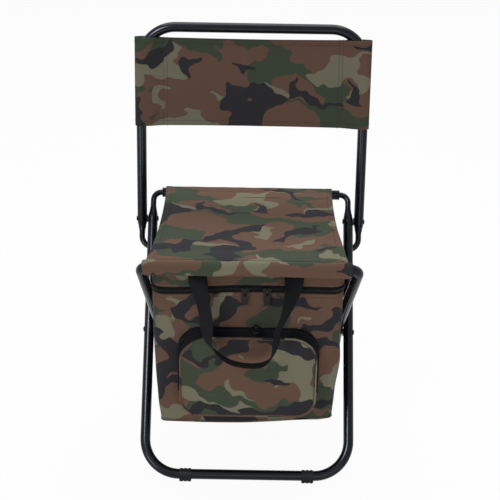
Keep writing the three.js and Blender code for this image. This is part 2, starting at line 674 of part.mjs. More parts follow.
for (const [side, sign] of SIDES) {
  outer.add(piece(`cross_pivot_rivet_${side}`, rivet(sign, INNER_X, OUTER_X), "rivet"));
  outer.add(piece(`cross_pivot_washer_${side}`, washer(sign, INNER_X, OUTER_X), "rubber"));
  const pivot = new THREE.Group();
  pivot.position.z = BACKREST_PIVOT_S;
  pivot.add(piece(`backrest_pivot_rivet_${side}`, rivet(sign, OUTER_X, BACKREST_X), "rivet"));
  pivot.add(piece(`backrest_pivot_washer_${side}`, washer(sign, OUTER_X, BACKREST_X), "rubber"));
  outer.add(pivot);
  backrest.add(piece(`hook_cap_${side}`, hookCap(sign), "rubber"));
}

const seat = new THREE.Group();
seat.name = "seat";
const frontBar = piece("front_seat_bar", seatBar(FRONT_BAR_HALF), "enamel");
frontBar.position.set(0, -HALF_DEPTH, SEAT_BAR_HEIGHT);
const rearBar = piece("rear_seat_bar", seatBar(REAR_BAR_HALF), "enamel");
rearBar.position.set(0, HALF_DEPTH, SEAT_BAR_HEIGHT);
seat.add(frontBar, rearBar);
const frontSleeve = sleeve(-HALF_DEPTH, FRONT_SLEEVE_DROP, FRONT_SLEEVE_SWING, FRONT_SLEEVE_LENGTH);
const rearSleeve = sleeve(HALF_DEPTH, 0, 0, REAR_SLEEVE_LENGTH);
seat.add(piece("front_sleeve", frontSleeve, "camouflage"));
seat.add(piece("rear_sleeve", rearSleeve, "camouflage"));
seat.add(piece("seat_panel", seatPanel(), "camouflage"));

const frontFootX = OUTER_X - LEG_BEND - FOOT_LENGTH / 2 - FOOT_BEND_GAP;
const rearFootX = INNER_X - LEG_BEND - FOOT_LENGTH / 2 - FOOT_BEND_GAP;
for (const [side, sign] of SIDES) {
  const bush = piece(`rear_bar_bush_${side}`, barBush(sign), "rubber");
  bush.position.copy(rearBar.position);
  seat.add(bush);
  seat.add(piece(`front_foot_${side}`, foot(sign * frontFootX, -HALF_DEPTH), "rubber"));
  seat.add(piece(`rear_foot_${side}`, foot(sign * rearFootX, HALF_DEPTH), "rubber"));
}

const bag = new THREE.Group();
bag.name = "cooler_bag";
const LINER = 3;
const linerGrow = -CLOTH - FIT;
const boardTop = BAG_BASE_HEIGHT + CLOTH + FIT + 2;
const boardInset = -BAG_EDGE - 4;
const boardRing = (z) => bagRing(BAG_BASE_HEIGHT + BAG_EDGE, boardInset).map((p) => p.setZ(z));
const padLow = bagRing(LID_TOP, -8).map((p) => p.setZ(LID_TOP - 6));
bag.add(piece("bag_shell", bagVessel(0, CLOTH, BAG_BASE_HEIGHT, ZIP_LOW - FIT), "camouflage"));
bag.add(piece("base_board", loft([boardRing(boardTop - 2), boardRing(boardTop)]), "board"));
bag.add(piece("insulation_liner", bagVessel(linerGrow, LINER, boardTop + FIT, ZIP_LOW - 4), "foam"));
bag.add(piece("base_piping", basePiping(), "piping"));
bag.add(piece("lid_band", bagStrip(ZIP_HIGH + FIT, LID_TOP - FIT, -CLOTH, 0), "camouflage"));
bag.add(piece("lid_insulation", loft([padLow, bagRing(LID_TOP, -8)]), "foam"));
const tape = bagStrip(ZIP_LOW, ZIP_HIGH, -1, 0);
const chain = bagStrip(ZIP_HEIGHT - CHAIN_WIDTH / 2, ZIP_HEIGHT + CHAIN_WIDTH / 2, FIT, FIT + CHAIN_PROUD);
bag.add(piece("main_zip_tape", keepInside(tape, zipSide), "zip"));
bag.add(piece("lid_hinge_strip", keepInside(tape, hingeSide), "camouflage"));
bag.add(piece("main_zip_chain", keepInside(chain, zipSide), "zip"));

bag.add(piece("pocket_shell", pocketShell(), "camouflage"));
const pipingR = 1.7;
const pocketEdge = pocketRing(POCKET_FACE_Y + 6.5, -pipingR - FIT);
bag.add(piece("pocket_piping", pipingLoop(pocketEdge, at(0, -1, 0), pipingR), "piping"));
const halfTape = POCKET_ZIP_TAPE_WIDTH / 2;
const pocketTape = pocketStrip(POCKET_ZIP_Y - halfTape, POCKET_ZIP_Y + halfTape, FIT, FIT + POCKET_TAPE);
bag.add(piece("pocket_zip_tape", pocketTape, "zip"));
const chainBase = 2 * FIT + POCKET_TAPE;
const pocketChain = pocketStrip(POCKET_ZIP_Y - CHAIN_WIDTH / 2, POCKET_ZIP_Y + CHAIN_WIDTH / 2,
  chainBase, chainBase + CHAIN_PROUD);
bag.add(piece("pocket_zip_chain", pocketChain, "zip"));

const sliders = [
  ["main_zip_left", at(LEFT_SLIDER_X, BAG_FRONT_Y, ZIP_HEIGHT), Math.PI / 2, MAIN_TAB_LENGTH],
  ["main_zip_right", at(RIGHT_SLIDER_X, BAG_FRONT_Y, ZIP_HEIGHT), Math.PI / 2, MAIN_TAB_LENGTH],
  ["pocket_zip", at(POCKET_SLIDER_X, POCKET_ZIP_Y, POCKET_TOP + FIT + POCKET_TAPE), 0, POCKET_TAB_LENGTH],
];
for (const [name, place, tilt, tabLength] of sliders) {
  const slider = new THREE.Group();
  slider.position.copy(place);
  slider.rotation.x = tilt;
  slider.add(piece(`${name}_slider`, zipSlider(), "zip"));
  slider.add(piece(`${name}_pull`, pullTab(tabLength), "zip"));
  bag.add(slider);
}

const handleCurve = new THREE.CatmullRomCurve3(HANDLE_LINE);
const slit = 2 * FIT / handleCurve.getLength();
const handleParts = [
  ["handle_end_left", 0, HANDLE_BREAK, 5],
  ["carry_handle", HANDLE_BREAK + slit, 1 - HANDLE_BREAK - slit, 40],
  ["handle_end_right", 1 - HANDLE_BREAK, 1, 5],
];
for (const [name, from, to, steps] of handleParts) {
  bag.add(piece(name, webbing(handleCurve, from, to, steps), "webbing"));
}

// The webbing folds about its front face, in the slit
const handleFold = handleFrame(handleCurve, HANDLE_BREAK + slit / 2);
handleFold.point.add(handleFold.thick);

const stool = new THREE.Group();
stool.add(outer, inner, backrest, seat, bag);

// Joint axes, all along X, as points in the YZ plane of the build
stool.userData.axes = {
  cross: [0, CROSS_HEIGHT],
  backrest: [BACKREST_PIVOT_Y, BACKREST_PIVOT_Z],
  bag: [BAG_FRONT_Y, LID_TOP],
  handle: handleFold.point.toArray().slice(1),
  mainTab: [BAG_FRONT_Y - TAB_AXIS_Z, ZIP_HEIGHT + TAB_AXIS_Y],
  pocketTab: [POCKET_ZIP_Y + TAB_AXIS_Y, POCKET_TOP + FIT + POCKET_TAPE + TAB_AXIS_Z],
};

// The part's origin is under the middle of its outline
const extent = new THREE.Box3().setFromObject(stool, true);
stool.position.y = -(extent.min.y + extent.max.y) / 2;

const part = new THREE.Group();
part.name = "folding_cooler_stool";
part.add(stool);
export default part;
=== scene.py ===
"""Folding cooler stool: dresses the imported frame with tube, camouflage cloth, zips and webbing."""

import json
import math

import bmesh
import bpy
import numpy as np
from bpy.props import FloatProperty, FloatVectorProperty, PointerProperty
from mathutils import Matrix, Vector, noise


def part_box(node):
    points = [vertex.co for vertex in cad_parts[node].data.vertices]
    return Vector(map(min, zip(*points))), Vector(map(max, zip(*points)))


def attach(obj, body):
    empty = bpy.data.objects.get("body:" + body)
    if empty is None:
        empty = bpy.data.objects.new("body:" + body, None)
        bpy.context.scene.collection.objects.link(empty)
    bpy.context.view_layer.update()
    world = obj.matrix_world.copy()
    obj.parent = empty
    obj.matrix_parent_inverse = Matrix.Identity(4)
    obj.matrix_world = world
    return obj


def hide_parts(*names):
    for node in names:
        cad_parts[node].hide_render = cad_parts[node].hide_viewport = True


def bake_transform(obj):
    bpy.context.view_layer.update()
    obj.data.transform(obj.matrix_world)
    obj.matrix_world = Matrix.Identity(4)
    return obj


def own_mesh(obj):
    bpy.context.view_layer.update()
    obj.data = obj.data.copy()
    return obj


bl_info = {
    "name": "Folding Cooler Stool",
    "version": (1, 0, 0),
    "blender": (4, 5, 0),
    "location": "View3D > Sidebar > Stool",
    "description": "Dresses a folding stool frame with tube, cloth, a cooler bag, zips and webbing",
    "category": "Object",
}

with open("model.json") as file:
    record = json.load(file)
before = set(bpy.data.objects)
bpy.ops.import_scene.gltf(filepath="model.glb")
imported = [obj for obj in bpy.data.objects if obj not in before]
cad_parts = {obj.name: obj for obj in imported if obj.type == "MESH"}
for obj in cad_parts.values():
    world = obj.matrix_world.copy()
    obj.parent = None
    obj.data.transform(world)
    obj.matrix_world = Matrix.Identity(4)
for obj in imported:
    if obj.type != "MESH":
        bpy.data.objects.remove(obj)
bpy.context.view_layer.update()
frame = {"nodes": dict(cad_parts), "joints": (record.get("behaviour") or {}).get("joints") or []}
MM = 0.001

# Places that the frame gives
JOINTS = {joint["name"]: joint for joint in frame["joints"]}
CROSS = Vector(JOINTS["cross_fold"]["pos_m"])
BACKREST_PIVOT = Vector(JOINTS["backrest_fold"]["pos_m"])


def node_middle(name):
    low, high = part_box(name)
    return (low + high) / 2


FRONT_BAR = node_middle("front_seat_bar")
REAR_BAR = node_middle("rear_seat_bar")
LEG_REACH = math.hypot(REAR_BAR.y - CROSS.y, REAR_BAR.z - CROSS.z)
LEG_LEAN = math.atan2(REAR_BAR.y - CROSS.y, REAR_BAR.z - CROSS.z)
BACKREST_LEAN = math.radians(7.7)
BACKREST_PIVOT_S = math.hypot(BACKREST_PIVOT.y - CROSS.y, BACKREST_PIVOT.z - CROSS.z)

# Tube sizes
TUBE_R = 7.2 * MM
NECK_R = 4.25 * MM
OUTER_X = 146 * MM
INNER_X = 130 * MM
BACKREST_X = 162 * MM
PIVOT_SPACE = OUTER_X - INNER_X - 2 * TUBE_R
LEG_BEND = 50 * MM
BACKREST_LENGTH = 285.5 * MM
BACKREST_BEND = 50 * MM
REAR_BAR_HALF = 131 * MM
FRONT_BAR_HALF = 129 * MM

# Cloth sizes
COVER_BOTTOM = 142 * MM
COVER_TOP = 271 * MM
COVER_SEAM = 129 * MM
BAG_FRONT_Y = FRONT_BAR.y + 15 * MM
BAG_BASE_Z = FRONT_BAR.z - 245 * MM
LID_TOP_Z = FRONT_BAR.z + 8.9 * MM
ZIP_Z = FRONT_BAR.z - 39 * MM
ZIP_HALF = 5.5 * MM
ZIP_REAR_Y = CROSS.y + 62 * MM
POCKET_BASE_Z = BAG_BASE_Z + 22 * MM
POCKET_HEIGHT = 125 * MM
POCKET_HALF = 92 * MM
POCKET_DEPTH = 29 * MM
HEM = 7 * MM
HEM_FADE = 8.5 * MM

# Where each panel is cut from the printed cloth, in metres on its map
CLOTH_CUT = {
    "backrest": (0, 0.62), "seat": (0.31, 0.57), "walls": (0.12, 0.9), "base": (0.8, 0.3),
    "lid_band": (0.55, 0.2), "hinge": (0.3, 0.7), "gusset": (0.7, 0.1), "pocket_face": (0.95, 0.45),
}

# Camera that was fitted to the photograph
TARGET = Vector((0, CROSS.y, 0.30))
CAMERA_DISTANCE = 1.85
CAMERA_ELEVATION = math.radians(24.8)
CAMERA_ROLL = math.radians(0.95)
CAMERA_LENS = 93.4
CAMERA_SENSOR = 36
CAMERA_SHIFT = 0.0032


def srgb(code):
    """Linear colour of an sRGB hex code."""
    parts = [int(code[i:i + 2], 16) / 255 for i in (1, 3, 5)]
    return tuple(c / 12.92 if c <= 0.04045 else ((c + 0.055) / 1.055) ** 2.4 for c in parts)


class StoolSizes(bpy.types.PropertyGroup):
    """Sizes of the cloth and trim; the frame fixes the rest"""

    cloth: FloatProperty(
        name="Cloth", description="Thickness of the coated cloth",
        default=1.1 * MM, min=0.2 * MM, max=3 * MM, unit="LENGTH")
    seat_sag: FloatProperty(
        name="Seat Sag", description="Dip in the middle of the empty seat",
        default=3 * MM, min=0, max=20 * MM, unit="LENGTH")
    bag_bulge: FloatProperty(
        name="Bag Bulge", description="How far the bag's panels stand out between their corners",
        default=3.5 * MM, min=0, max=8 * MM, unit="LENGTH")
    zip_wave: FloatProperty(
        name="Zip Wave", description="How far the bag's zip dips at its left front corner",
        default=3.5 * MM, min=0, max=6 * MM, unit="LENGTH")
    stitch_pitch: FloatProperty(
        name="Stitch Pitch", description="Distance from stitch to stitch",
        default=3.4 * MM, min=1 * MM, max=10 * MM, unit="LENGTH")
    stitch_length: FloatProperty(
        name="Stitch Length", description="Length of thread that shows in a stitch",
        default=2.5 * MM, min=0.5 * MM, max=10 * MM, unit="LENGTH")
    coil_pitch: FloatProperty(
        name="Coil Pitch", description="Distance from one turn of the zip coil to the next",
        default=1.6 * MM, min=0.8 * MM, max=4 * MM, unit="LENGTH")
    piping: FloatProperty(
        name="Piping", description="Diameter of the corded edges",
        default=3 * MM, min=1 * MM, max=8 * MM, unit="LENGTH")
    webbing_width: FloatProperty(
        name="Webbing Width", description="Width of the carry handle",
        default=25 * MM, min=10 * MM, max=40 * MM, unit="LENGTH")
    webbing_thickness: FloatProperty(
        name="Webbing Thickness", description="Thickness of the carry handle",
        default=1.6 * MM, min=0.5 * MM, max=4 * MM, unit="LENGTH")


class StoolColours(bpy.types.PropertyGroup):
    """Dyes and paints of the stool"""

    brown: FloatVectorProperty(
        name="Brown", description="Main brown of the print",
        default=srgb("#664d40"), subtype="COLOR", min=0, max=1)
    green: FloatVectorProperty(
        name="Green", description="Dark green of the print",
        default=srgb("#3e4738"), subtype="COLOR", min=0, max=1)
    khaki: FloatVectorProperty(
        name="Khaki", description="Pale khaki of the print",
        default=srgb("#777461"), subtype="COLOR", min=0, max=1)
    black: FloatVectorProperty(
        name="Black", description="Blue-black of the print",
        default=srgb("#29292e"), subtype="COLOR", min=0, max=1)
    enamel: FloatVectorProperty(
        name="Enamel", description="Paint on the tube",
        default=srgb("#0e0f13"), subtype="COLOR", min=0, max=1)
    webbing: FloatVectorProperty(
        name="Webbing", description="Dye of the webbing and zip tape",
        default=srgb("#131417"), subtype="COLOR", min=0, max=1)


# Nodes and materials


def set_inputs(tree, node, inputs):
    """Sets or links a node's inputs, by name or number."""
    for key, value in inputs.items():
        if isinstance(value, bpy.types.NodeSocket):
            tree.links.new(value, node.inputs[key])
        else:
            node.inputs[key].default_value = value


def add_node(tree, kind, inputs=None, **settings):
    """Adds a node with its settings and links."""
    node = tree.nodes.new(kind)
    for name, value in settings.items():
        setattr(node, name, value)
    set_inputs(tree, node, inputs or {})
    return node


def new_material(name, constants):
    """A material with one Principled shader, which has the given constants."""
    material = bpy.data.materials.new(name)
    material.use_nodes = True
    tree = material.node_tree
    shader = next(node for node in tree.nodes if node.type == "BSDF_PRINCIPLED")
    set_inputs(tree, shader, constants)
    return material, tree, shader


def rgba(colour):
    return (*colour, 1)


def made_once(kind):
    """A material or node group bears its function's name, and is built on its first use and then shared."""
    def shared(build):
        def lookup():
            name = build.__name__
            return getattr(bpy.data, kind).get(name) or build(name)
        return lookup
    return shared


# Sockets of a Mix node that mixes colours
MIX_FROM, MIX_TO, MIXED = 6, 7, 2


def mottle(tree, shader, pattern, tones, roughness):
    """Lets the colour go between two tones, and the roughness between two values, with one pattern."""
    dark, pale = (rgba(srgb(code)) for code in tones)
    tone = add_node(tree, "ShaderNodeMix", {
        "Factor": pattern, MIX_FROM: dark, MIX_TO: pale}, data_type="RGBA")
    smooth, rough = roughness
    gloss = add_node(tree, "ShaderNodeMapRange", {"Value": pattern, "To Min": smooth, "To Max": rough})
    set_inputs(tree, shader, {"Base Color": tone.outputs[MIXED], "Roughness": gloss.outputs[0]})


@made_once("materials")
def black_enamel_on_steel(name):
    """Baked enamel over drawn tube: a deep gloss with a faint orange peel that wavers the highlights."""
    colours = bpy.context.scene.stool_colours
    material, tree, shader = new_material(name, {
        "Base Color": rgba(colours.enamel), "IOR": 1.5, "Specular IOR Level": 0.22,
        "Specular Tint": rgba(srgb("#dfe6f5"))})
    place = add_node(tree, "ShaderNodeTexCoord").outputs["Object"]
    peel_size, peel_depth = 2.5 * MM, 0.08 * MM
    peel = add_node(tree, "ShaderNodeTexNoise", {"Vector": place, "Scale": 1 / peel_size, "Detail": 1.0})
    bump = add_node(tree, "ShaderNodeBump", {
        "Height": peel.outputs[0], "Strength": 0.12, "Distance": peel_depth})
    handling_size = 45 * MM
    haze = add_node(tree, "ShaderNodeTexNoise", {
        "Vector": place, "Scale": 1 / handling_size, "Detail": 4.0})
    rough = add_node(tree, "ShaderNodeMapRange", {
        "Value": haze.outputs[0], "To Min": 0.15, "To Max": 0.27})
    set_inputs(tree, shader, {"Roughness": rough.outputs[0], "Normal": bump.outputs[0]})
    return material


@made_once("materials")
def blackened_rivet_steel(name):
    """Pressed steel with a thin black finish: softer gloss than the tube, worn paler in blots."""
    material, tree, shader = new_material(name, {"Metallic": 0.6})
    place = add_node(tree, "ShaderNodeTexCoord").outputs["Object"]
    rub_size = 3 * MM
    rub = add_node(tree, "ShaderNodeTexNoise", {"Vector": place, "Scale": 1 / rub_size, "Detail": 3.0})
    mottle(tree, shader, rub.outputs[0], ("#1c1d20", "#3a3c41"), (0.3, 0.5))
    return material


@made_once("materials")
def moulded_black_rubber(name):
    """Soft moulded plastic: matt, with a spark-eroded grain and a little dust in its hollows."""
    material, tree, shader = new_material(name, {"IOR": 1.5, "Specular IOR Level": 0.14})
    place = add_node(tree, "ShaderNodeTexCoord").outputs["Object"]
    grain_size, grain_depth = 0.6 * MM, 0.1 * MM
    grain = add_node(tree, "ShaderNodeTexNoise", {"Vector": place, "Scale": 1 / grain_size, "Detail": 2.0})
    bump = add_node(tree, "ShaderNodeBump", {
        "Height": grain.outputs[0], "Strength": 0.3, "Distance": grain_depth})
    dust_size = 12 * MM
    dust = add_node(tree, "ShaderNodeTexNoise", {"Vector": place, "Scale": 1 / dust_size, "Detail": 3.0})
    mottle(tree, shader, dust.outputs[0], ("#0d0e11", "#191a1e"), (0.35, 0.6))
    set_inputs(tree, shader, {"Normal": bump.outputs[0]})
    return material


def weave_height(tree, cloth, pitch):
    """Height of a plain weave from 0 to 1, on a cloth map in metres."""
    parts = add_node(tree, "ShaderNodeSeparateXYZ", {0: cloth})
    waves = []
    for axis in (0, 1):
        turns = add_node(tree, "ShaderNodeMath", {
            0: parts.outputs[axis], 1: 2 * math.pi / pitch}, operation="MULTIPLY")
        waves.append(add_node(tree, "ShaderNodeMath", {0: turns.outputs[0]}, operation="SINE"))
    crossed = add_node(tree, "ShaderNodeMath", {
        0: waves[0].outputs[0], 1: waves[1].outputs[0]}, operation="MULTIPLY")
    return add_node(tree, "ShaderNodeMapRange", {"Value": crossed.outputs[0], "From Min": -1.0}).outputs[0]


@made_once("materials")
def printed_oxford_polyester(name):
    """Coated oxford cloth, printed in four flat dyes: crisp blots over a basket weave with a dry sheen."""
    colours = bpy.context.scene.stool_colours
    material, tree, shader = new_material(name, {
        "Specular IOR Level": 0.12, "Sheen Weight": 0.03, "Sheen Roughness": 0.5})
    cloth = add_node(tree, "ShaderNodeUVMap", uv_map="cloth").outputs[0]
    # Edges of the blots sway by a few millimetres, which gives them fingers
    sway_size, sway = 28 * MM, 30 * MM
    wander = add_node(tree, "ShaderNodeTexNoise", {
        "Vector": cloth, "Scale": 1 / sway_size, "Detail": 1.0, "Roughness": 0.5}, noise_dimensions="2D")
    offset = add_node(tree, "ShaderNodeVectorMath", {
        0: wander.outputs["Color"], 1: (0.5, 0.5, 0.5)}, operation="SUBTRACT")
    scaled = add_node(tree, "ShaderNodeVectorMath", {
        0: offset.outputs[0], "Scale": sway}, operation="SCALE")
    swayed = add_node(tree, "ShaderNodeVectorMath", {0: cloth, 1: scaled.outputs[0]}, operation="ADD")
    # Each dye is laid in branching strokes that swell, thin out and break off
    layers = [
        (colours.green, (100 * MM, 62 * MM), (3.1, 7.7), 0.43, 0.25),
        (colours.khaki, (88 * MM, 54 * MM), (11.3, 2.9), 0.49, 0.19),
        (colours.black, (92 * MM, 62 * MM), (5.9, 14.2), 0.482, 0.21),
    ]
    edge_blur = 0.006
    dye = rgba(colours.brown)
    for colour, (long, high), start, break_off, spread in layers:
        spot = add_node(tree, "ShaderNodeMapping", {
            "Vector": swayed.outputs[0], "Location": (*start, 0), "Scale": (1 / long, 1 / high, 1)})
        blot = add_node(tree, "ShaderNodeTexNoise", {
            "Vector": spot.outputs[0], "Scale": 1.0, "Detail": 0.6, "Roughness": 0.4},
            noise_dimensions="2D")
        course, swell, _ = add_node(tree, "ShaderNodeSeparateColor", {0: blot.outputs["Color"]}).outputs
        off = add_node(tree, "ShaderNodeMath", {0: course, 1: 0.5}, operation="SUBTRACT")
        away = add_node(tree, "ShaderNodeMath", {0: off.outputs[0]}, operation="ABSOLUTE")
        lift = add_node(tree, "ShaderNodeMath", {0: swell, 1: break_off}, operation="SUBTRACT")
        blunt = add_node(tree, "ShaderNodeMath", {0: lift.outputs[0]}, operation="SQRT")
        breadth = add_node(tree, "ShaderNodeMath", {
            0: blunt.outputs[0], 1: spread}, operation="MULTIPLY")
        inside = add_node(tree, "ShaderNodeMath", {
            0: breadth.outputs[0], 1: away.outputs[0]}, operation="SUBTRACT")
        edge = add_node(tree, "ShaderNodeMapRange", {
            "Value": inside.outputs[0], "From Min": 0.0, "From Max": edge_blur})
        dye = add_node(tree, "ShaderNodeMix", {
            "Factor": edge.outputs[0], MIX_FROM: dye, MIX_TO: rgba(colour)},
            data_type="RGBA").outputs[MIXED]
    # Threads are about 0.5 mm apart; drawn at 1 mm so that the weave shows
    weave_repeat, weave_depth = 2 * MM, 0.25 * MM
    weave = weave_height(tree, cloth, weave_repeat)
    fade_size = 60 * MM
    fade = add_node(tree, "ShaderNodeTexNoise", {"Vector": cloth, "Scale": 1 / fade_size, "Detail": 5.0})
    shade = add_node(tree, "ShaderNodeMapRange", {
        "Value": fade.outputs[0], "To Min": 0.88, "To Max": 1.1})
    # The weave's height also sets the colour: painted shade darkens the dye between the threads, and a
    # painted highlight lifts their crowns
    thread = add_node(tree, "ShaderNodeMapRange", {"Value": weave, "To Min": 0.9, "To Max": 1.06})
    light = add_node(tree, "ShaderNodeMath", {
        0: shade.outputs[0], 1: thread.outputs[0]}, operation="MULTIPLY")
    # The dye is multiplied by the uneven fade of the cloth and by the painted shade and highlight of the
    # weave
    worn = add_node(tree, "ShaderNodeMix", {
        "Factor": 1.0, MIX_FROM: dye, MIX_TO: light.outputs[0]}, data_type="RGBA", blend_type="MULTIPLY")
    rough = add_node(tree, "ShaderNodeMapRange", {
        "Value": fade.outputs[0], "To Min": 0.72, "To Max": 0.9})
    bump = add_node(tree, "ShaderNodeBump", {"Height": weave, "Strength": 0.35, "Distance": weave_depth})
    set_inputs(tree, shader, {
        "Base Color": worn.outputs[MIXED], "Roughness": rough.outputs[0], "Normal": bump.outputs[0]})
    return material


def ribbed_textile(name, dye, rib, depth, roughness):
    """Dyed textile with ribs along one way of its cloth map and a fine weave across them."""
    material, tree, shader = new_material(name, {"Specular IOR Level": 0.07})
    cloth = add_node(tree, "ShaderNodeUVMap", uv_map="cloth").outputs[0]
    parts = add_node(tree, "ShaderNodeSeparateXYZ", {0: cloth})
    turns = add_node(tree, "ShaderNodeMath", {
        0: parts.outputs[1], 1: 2 * math.pi / rib}, operation="MULTIPLY")
    ribs = add_node(tree, "ShaderNodeMath", {0: turns.outputs[0]}, operation="SINE")
    weave_repeat, fuzz_size = 1.6 * MM, 14 * MM
    weave = weave_height(tree, cloth, weave_repeat)
    height = add_node(tree, "ShaderNodeMath", {0: ribs.outputs[0], 1: weave}, operation="ADD")
    bump = add_node(tree, "ShaderNodeBump", {
        "Height": height.outputs[0], "Strength": 0.5, "Distance": depth})
    fuzz = add_node(tree, "ShaderNodeTexNoise", {"Vector": cloth, "Scale": 1 / fuzz_size, "Detail": 4.0})
    light = add_node(tree, "ShaderNodeMapRange", {
        "Value": fuzz.outputs[0], "To Min": 0.75, "To Max": 1.3})
    tone = add_node(tree, "ShaderNodeMix", {
        "Factor": 1.0, MIX_FROM: rgba(dye), MIX_TO: light.outputs[0]},
        data_type="RGBA", blend_type="MULTIPLY")
    rough = add_node(tree, "ShaderNodeMapRange", {
        "Value": fuzz.outputs[0], "To Min": roughness - 0.1, "To Max": roughness + 0.1})
    set_inputs(tree, shader, {
        "Base Color": tone.outputs[MIXED], "Roughness": rough.outputs[0], "Normal": bump.outputs[0]})
    return material


@made_once("materials")
def woven_polypropylene_webbing(name):
    """Heavy webbing: lengthwise ribs that catch a dull light, with a slightly greasy fibre sheen."""
    return ribbed_textile(
        name, bpy.context.scene.stool_colours.webbing, rib=2.6 * MM, depth=0.4 * MM, roughness=0.66)


@made_once("materials")
def knitted_zip_tape(name):
    """Zip tape: flat, close-knit and mattest of the blacks."""
    return ribbed_textile(
        name, bpy.context.scene.stool_colours.webbing, rib=1.8 * MM, depth=0.2 * MM, roughness=0.78)


def small_dark_part(name, tones, roughness):
    """Finish of a small dark part, with faint handling marks."""
    material, tree, shader = new_material(name, {"IOR": 1.5, "Specular IOR Level": 0.2})
    place = add_node(tree, "ShaderNodeTexCoord").outputs["Object"]
    mark_size = 2 * MM
    marks = add_node(tree, "ShaderNodeTexNoise", {"Vector": place, "Scale": 1 / mark_size, "Detail": 3.0})
    mottle(tree, shader, marks.outputs[0], tones, (roughness - 0.1, roughness + 0.1))
    return material


@made_once("materials")
def nylon_zip_coil(name):
    """Monofilament nylon wound in a coil: smooth turns with a small glint each."""
    return small_dark_part(name, ("#121316", "#26272b"), 0.35)


@made_once("materials")
def painted_zinc_slider(name):
    """Die-cast zinc under black paint: smooth, with the paint thinned where fingers hold it."""
    return small_dark_part(name, ("#0b0c0e", "#17181b"), 0.42)


@made_once("materials")
def bonded_sewing_thread(name):
    """Thick bonded thread: dark, a little glossy, twisted too finely to show."""
    return small_dark_part(name, ("#24241f", "#3b3a31"), 0.6)


@made_once("materials")
def foil_faced_foam(name):
    """Aluminised film on foam: bright, crinkled and slightly dulled."""
    material, tree, shader = new_material(name, {"Metallic": 0.8})
    place = add_node(tree, "ShaderNodeTexCoord").outputs["Object"]
    crinkle_size, crinkle_depth = 9 * MM, 0.6 * MM
    crinkle = add_node(tree, "ShaderNodeTexVoronoi", {"Vector": place, "Scale": 1 / crinkle_size})
    bump = add_node(tree, "ShaderNodeBump", {
        "Height": crinkle.outputs[0], "Strength": 0.5, "Distance": crinkle_depth})
    mottle(tree, shader, crinkle.outputs[0], ("#c9ccd0", "#a9adb2"), (0.25, 0.45))
    set_inputs(tree, shader, {"Normal": bump.outputs[0]})
    return material


@made_once("materials")
def grey_fibreboard(name):
    """Pressed board that stiffens the bag's base: dull grey with a speckle of fibre."""
    return small_dark_part(name, ("#333436", "#454547"), 0.8)


# Shapes

FRONT = (0, -1, 0)
UP = (0, 0, 1)
ACROSS = (1, 0, 0)
CURVE_STEPS = 24
BEND_STEPS = 16
TINY = 1e-12


def smooth_line(points, count):
    """Evenly spaced points on a smooth curve through the given ones."""
    points = np.asarray(points, float)
    ends = [2 * points[0] - points[1], 2 * points[-1] - points[-2]]
    control = np.vstack([ends[0], points, ends[1]])
    steps = np.linspace(0, 1, CURVE_STEPS, endpoint=False)[:, None]
    fine = []
    for i in range(1, len(control) - 2):
        p0, p1, p2, p3 = control[i - 1:i + 3]
        fine.append(0.5 * (2 * p1 + (p2 - p0) * steps + (2 * p0 - 5 * p1 + 4 * p2 - p3) * steps ** 2
                           + (3 * p1 - p0 - 3 * p2 + p3) * steps ** 3))
    fine = np.vstack([*fine, points[-1:]])
    return even_line(fine, count)


def lengths_along(points):
    """Distance along a line at each of its points."""
    steps = np.linalg.norm(np.diff(points, axis=0), axis=1)
    return np.concatenate([[0], np.cumsum(steps)])


def closed_up(points, axis=0):
    """Repeats the first points after the last ones, so that a ring comes back to its start."""
    return np.concatenate([points, np.take(points, [0], axis=axis)], axis=axis)


def even_line(points, count):
    """Evenly spaced points on a line of straight steps."""
    along = lengths_along(points)
    wanted = np.linspace(0, along[-1], count)
    return np.column_stack([np.interp(wanted, along, column) for column in points.T])


def bend_points(before, corner, after, radius, steps):
    """Points round a corner that is bent to a radius."""
    back, ahead = (before - corner).normalized(), (after - corner).normalized()
    half = back.angle(ahead) / 2
    if radius == 0 or half > math.pi / 2 - 1e-4:
        return [corner.copy()]
    centre = corner + (back + ahead).normalized() * (radius / math.sin(half))
    start = corner + back * (radius / math.tan(half)) - centre
    axis = ahead.cross(back).normalized()
    sweep = math.pi - 2 * half
    return [centre + Matrix.Rotation(sweep * i / steps, 3, axis) @ start for i in range(steps + 1)]


def bent_path(corners):
    """Stations (point, radius) on straight runs with round bends; a corner is (point, bend, radius)."""
    stations = []
    for i, (point, bend, radius) in enumerate(corners):
        if i in (0, len(corners) - 1):
            found = [point]
        else:
            found = bend_points(corners[i - 1][0], point, corners[i + 1][0], bend, BEND_STEPS)
        stations += [(p, radius) for p in found]
    return stations


def outline_points(corners, radii, runs, turn):
    """Points round a convex outline, with fixed steps on each corner and on the run after it."""
    points = []
    count = len(corners)
    arcs = [
        bend_points(corners[i - 1], corners[i], corners[(i + 1) % count], radii[i], turn)
        for i in range(count)]
    for i, arc in enumerate(arcs):
        start, end = arc[-1], arcs[(i + 1) % count][0]
        points += arc
        points += [start.lerp(end, k / runs[i]) for k in range(1, runs[i])]
    return np.array(points)


def grid_normals(points, wrap, place, way):
    """Unit normals of a grid, turned so that the one at a place (row, column) goes a given way."""
    if wrap:
        across = np.roll(points, -1, axis=1) - np.roll(points, 1, axis=1)
    else:
        across = np.gradient(points, axis=1)
    normals = np.cross(across, np.gradient(points, axis=0))
    normals /= np.maximum(np.linalg.norm(normals, axis=2, keepdims=True), TINY)
    return -normals if np.dot(normals[place], way) < 0 else normals


def across_start(columns, count):
    """Some columns of a ring of count, in one run across the place where the ring starts."""
    return np.concatenate([columns[columns > count // 2], columns[columns <= count // 2]])


def outward_of(ring, place):
    """Outward directions of the ring that a function gives for a place and a growth."""
    growth = 1 * MM
    return (ring(place, growth) - ring(place)) / growth


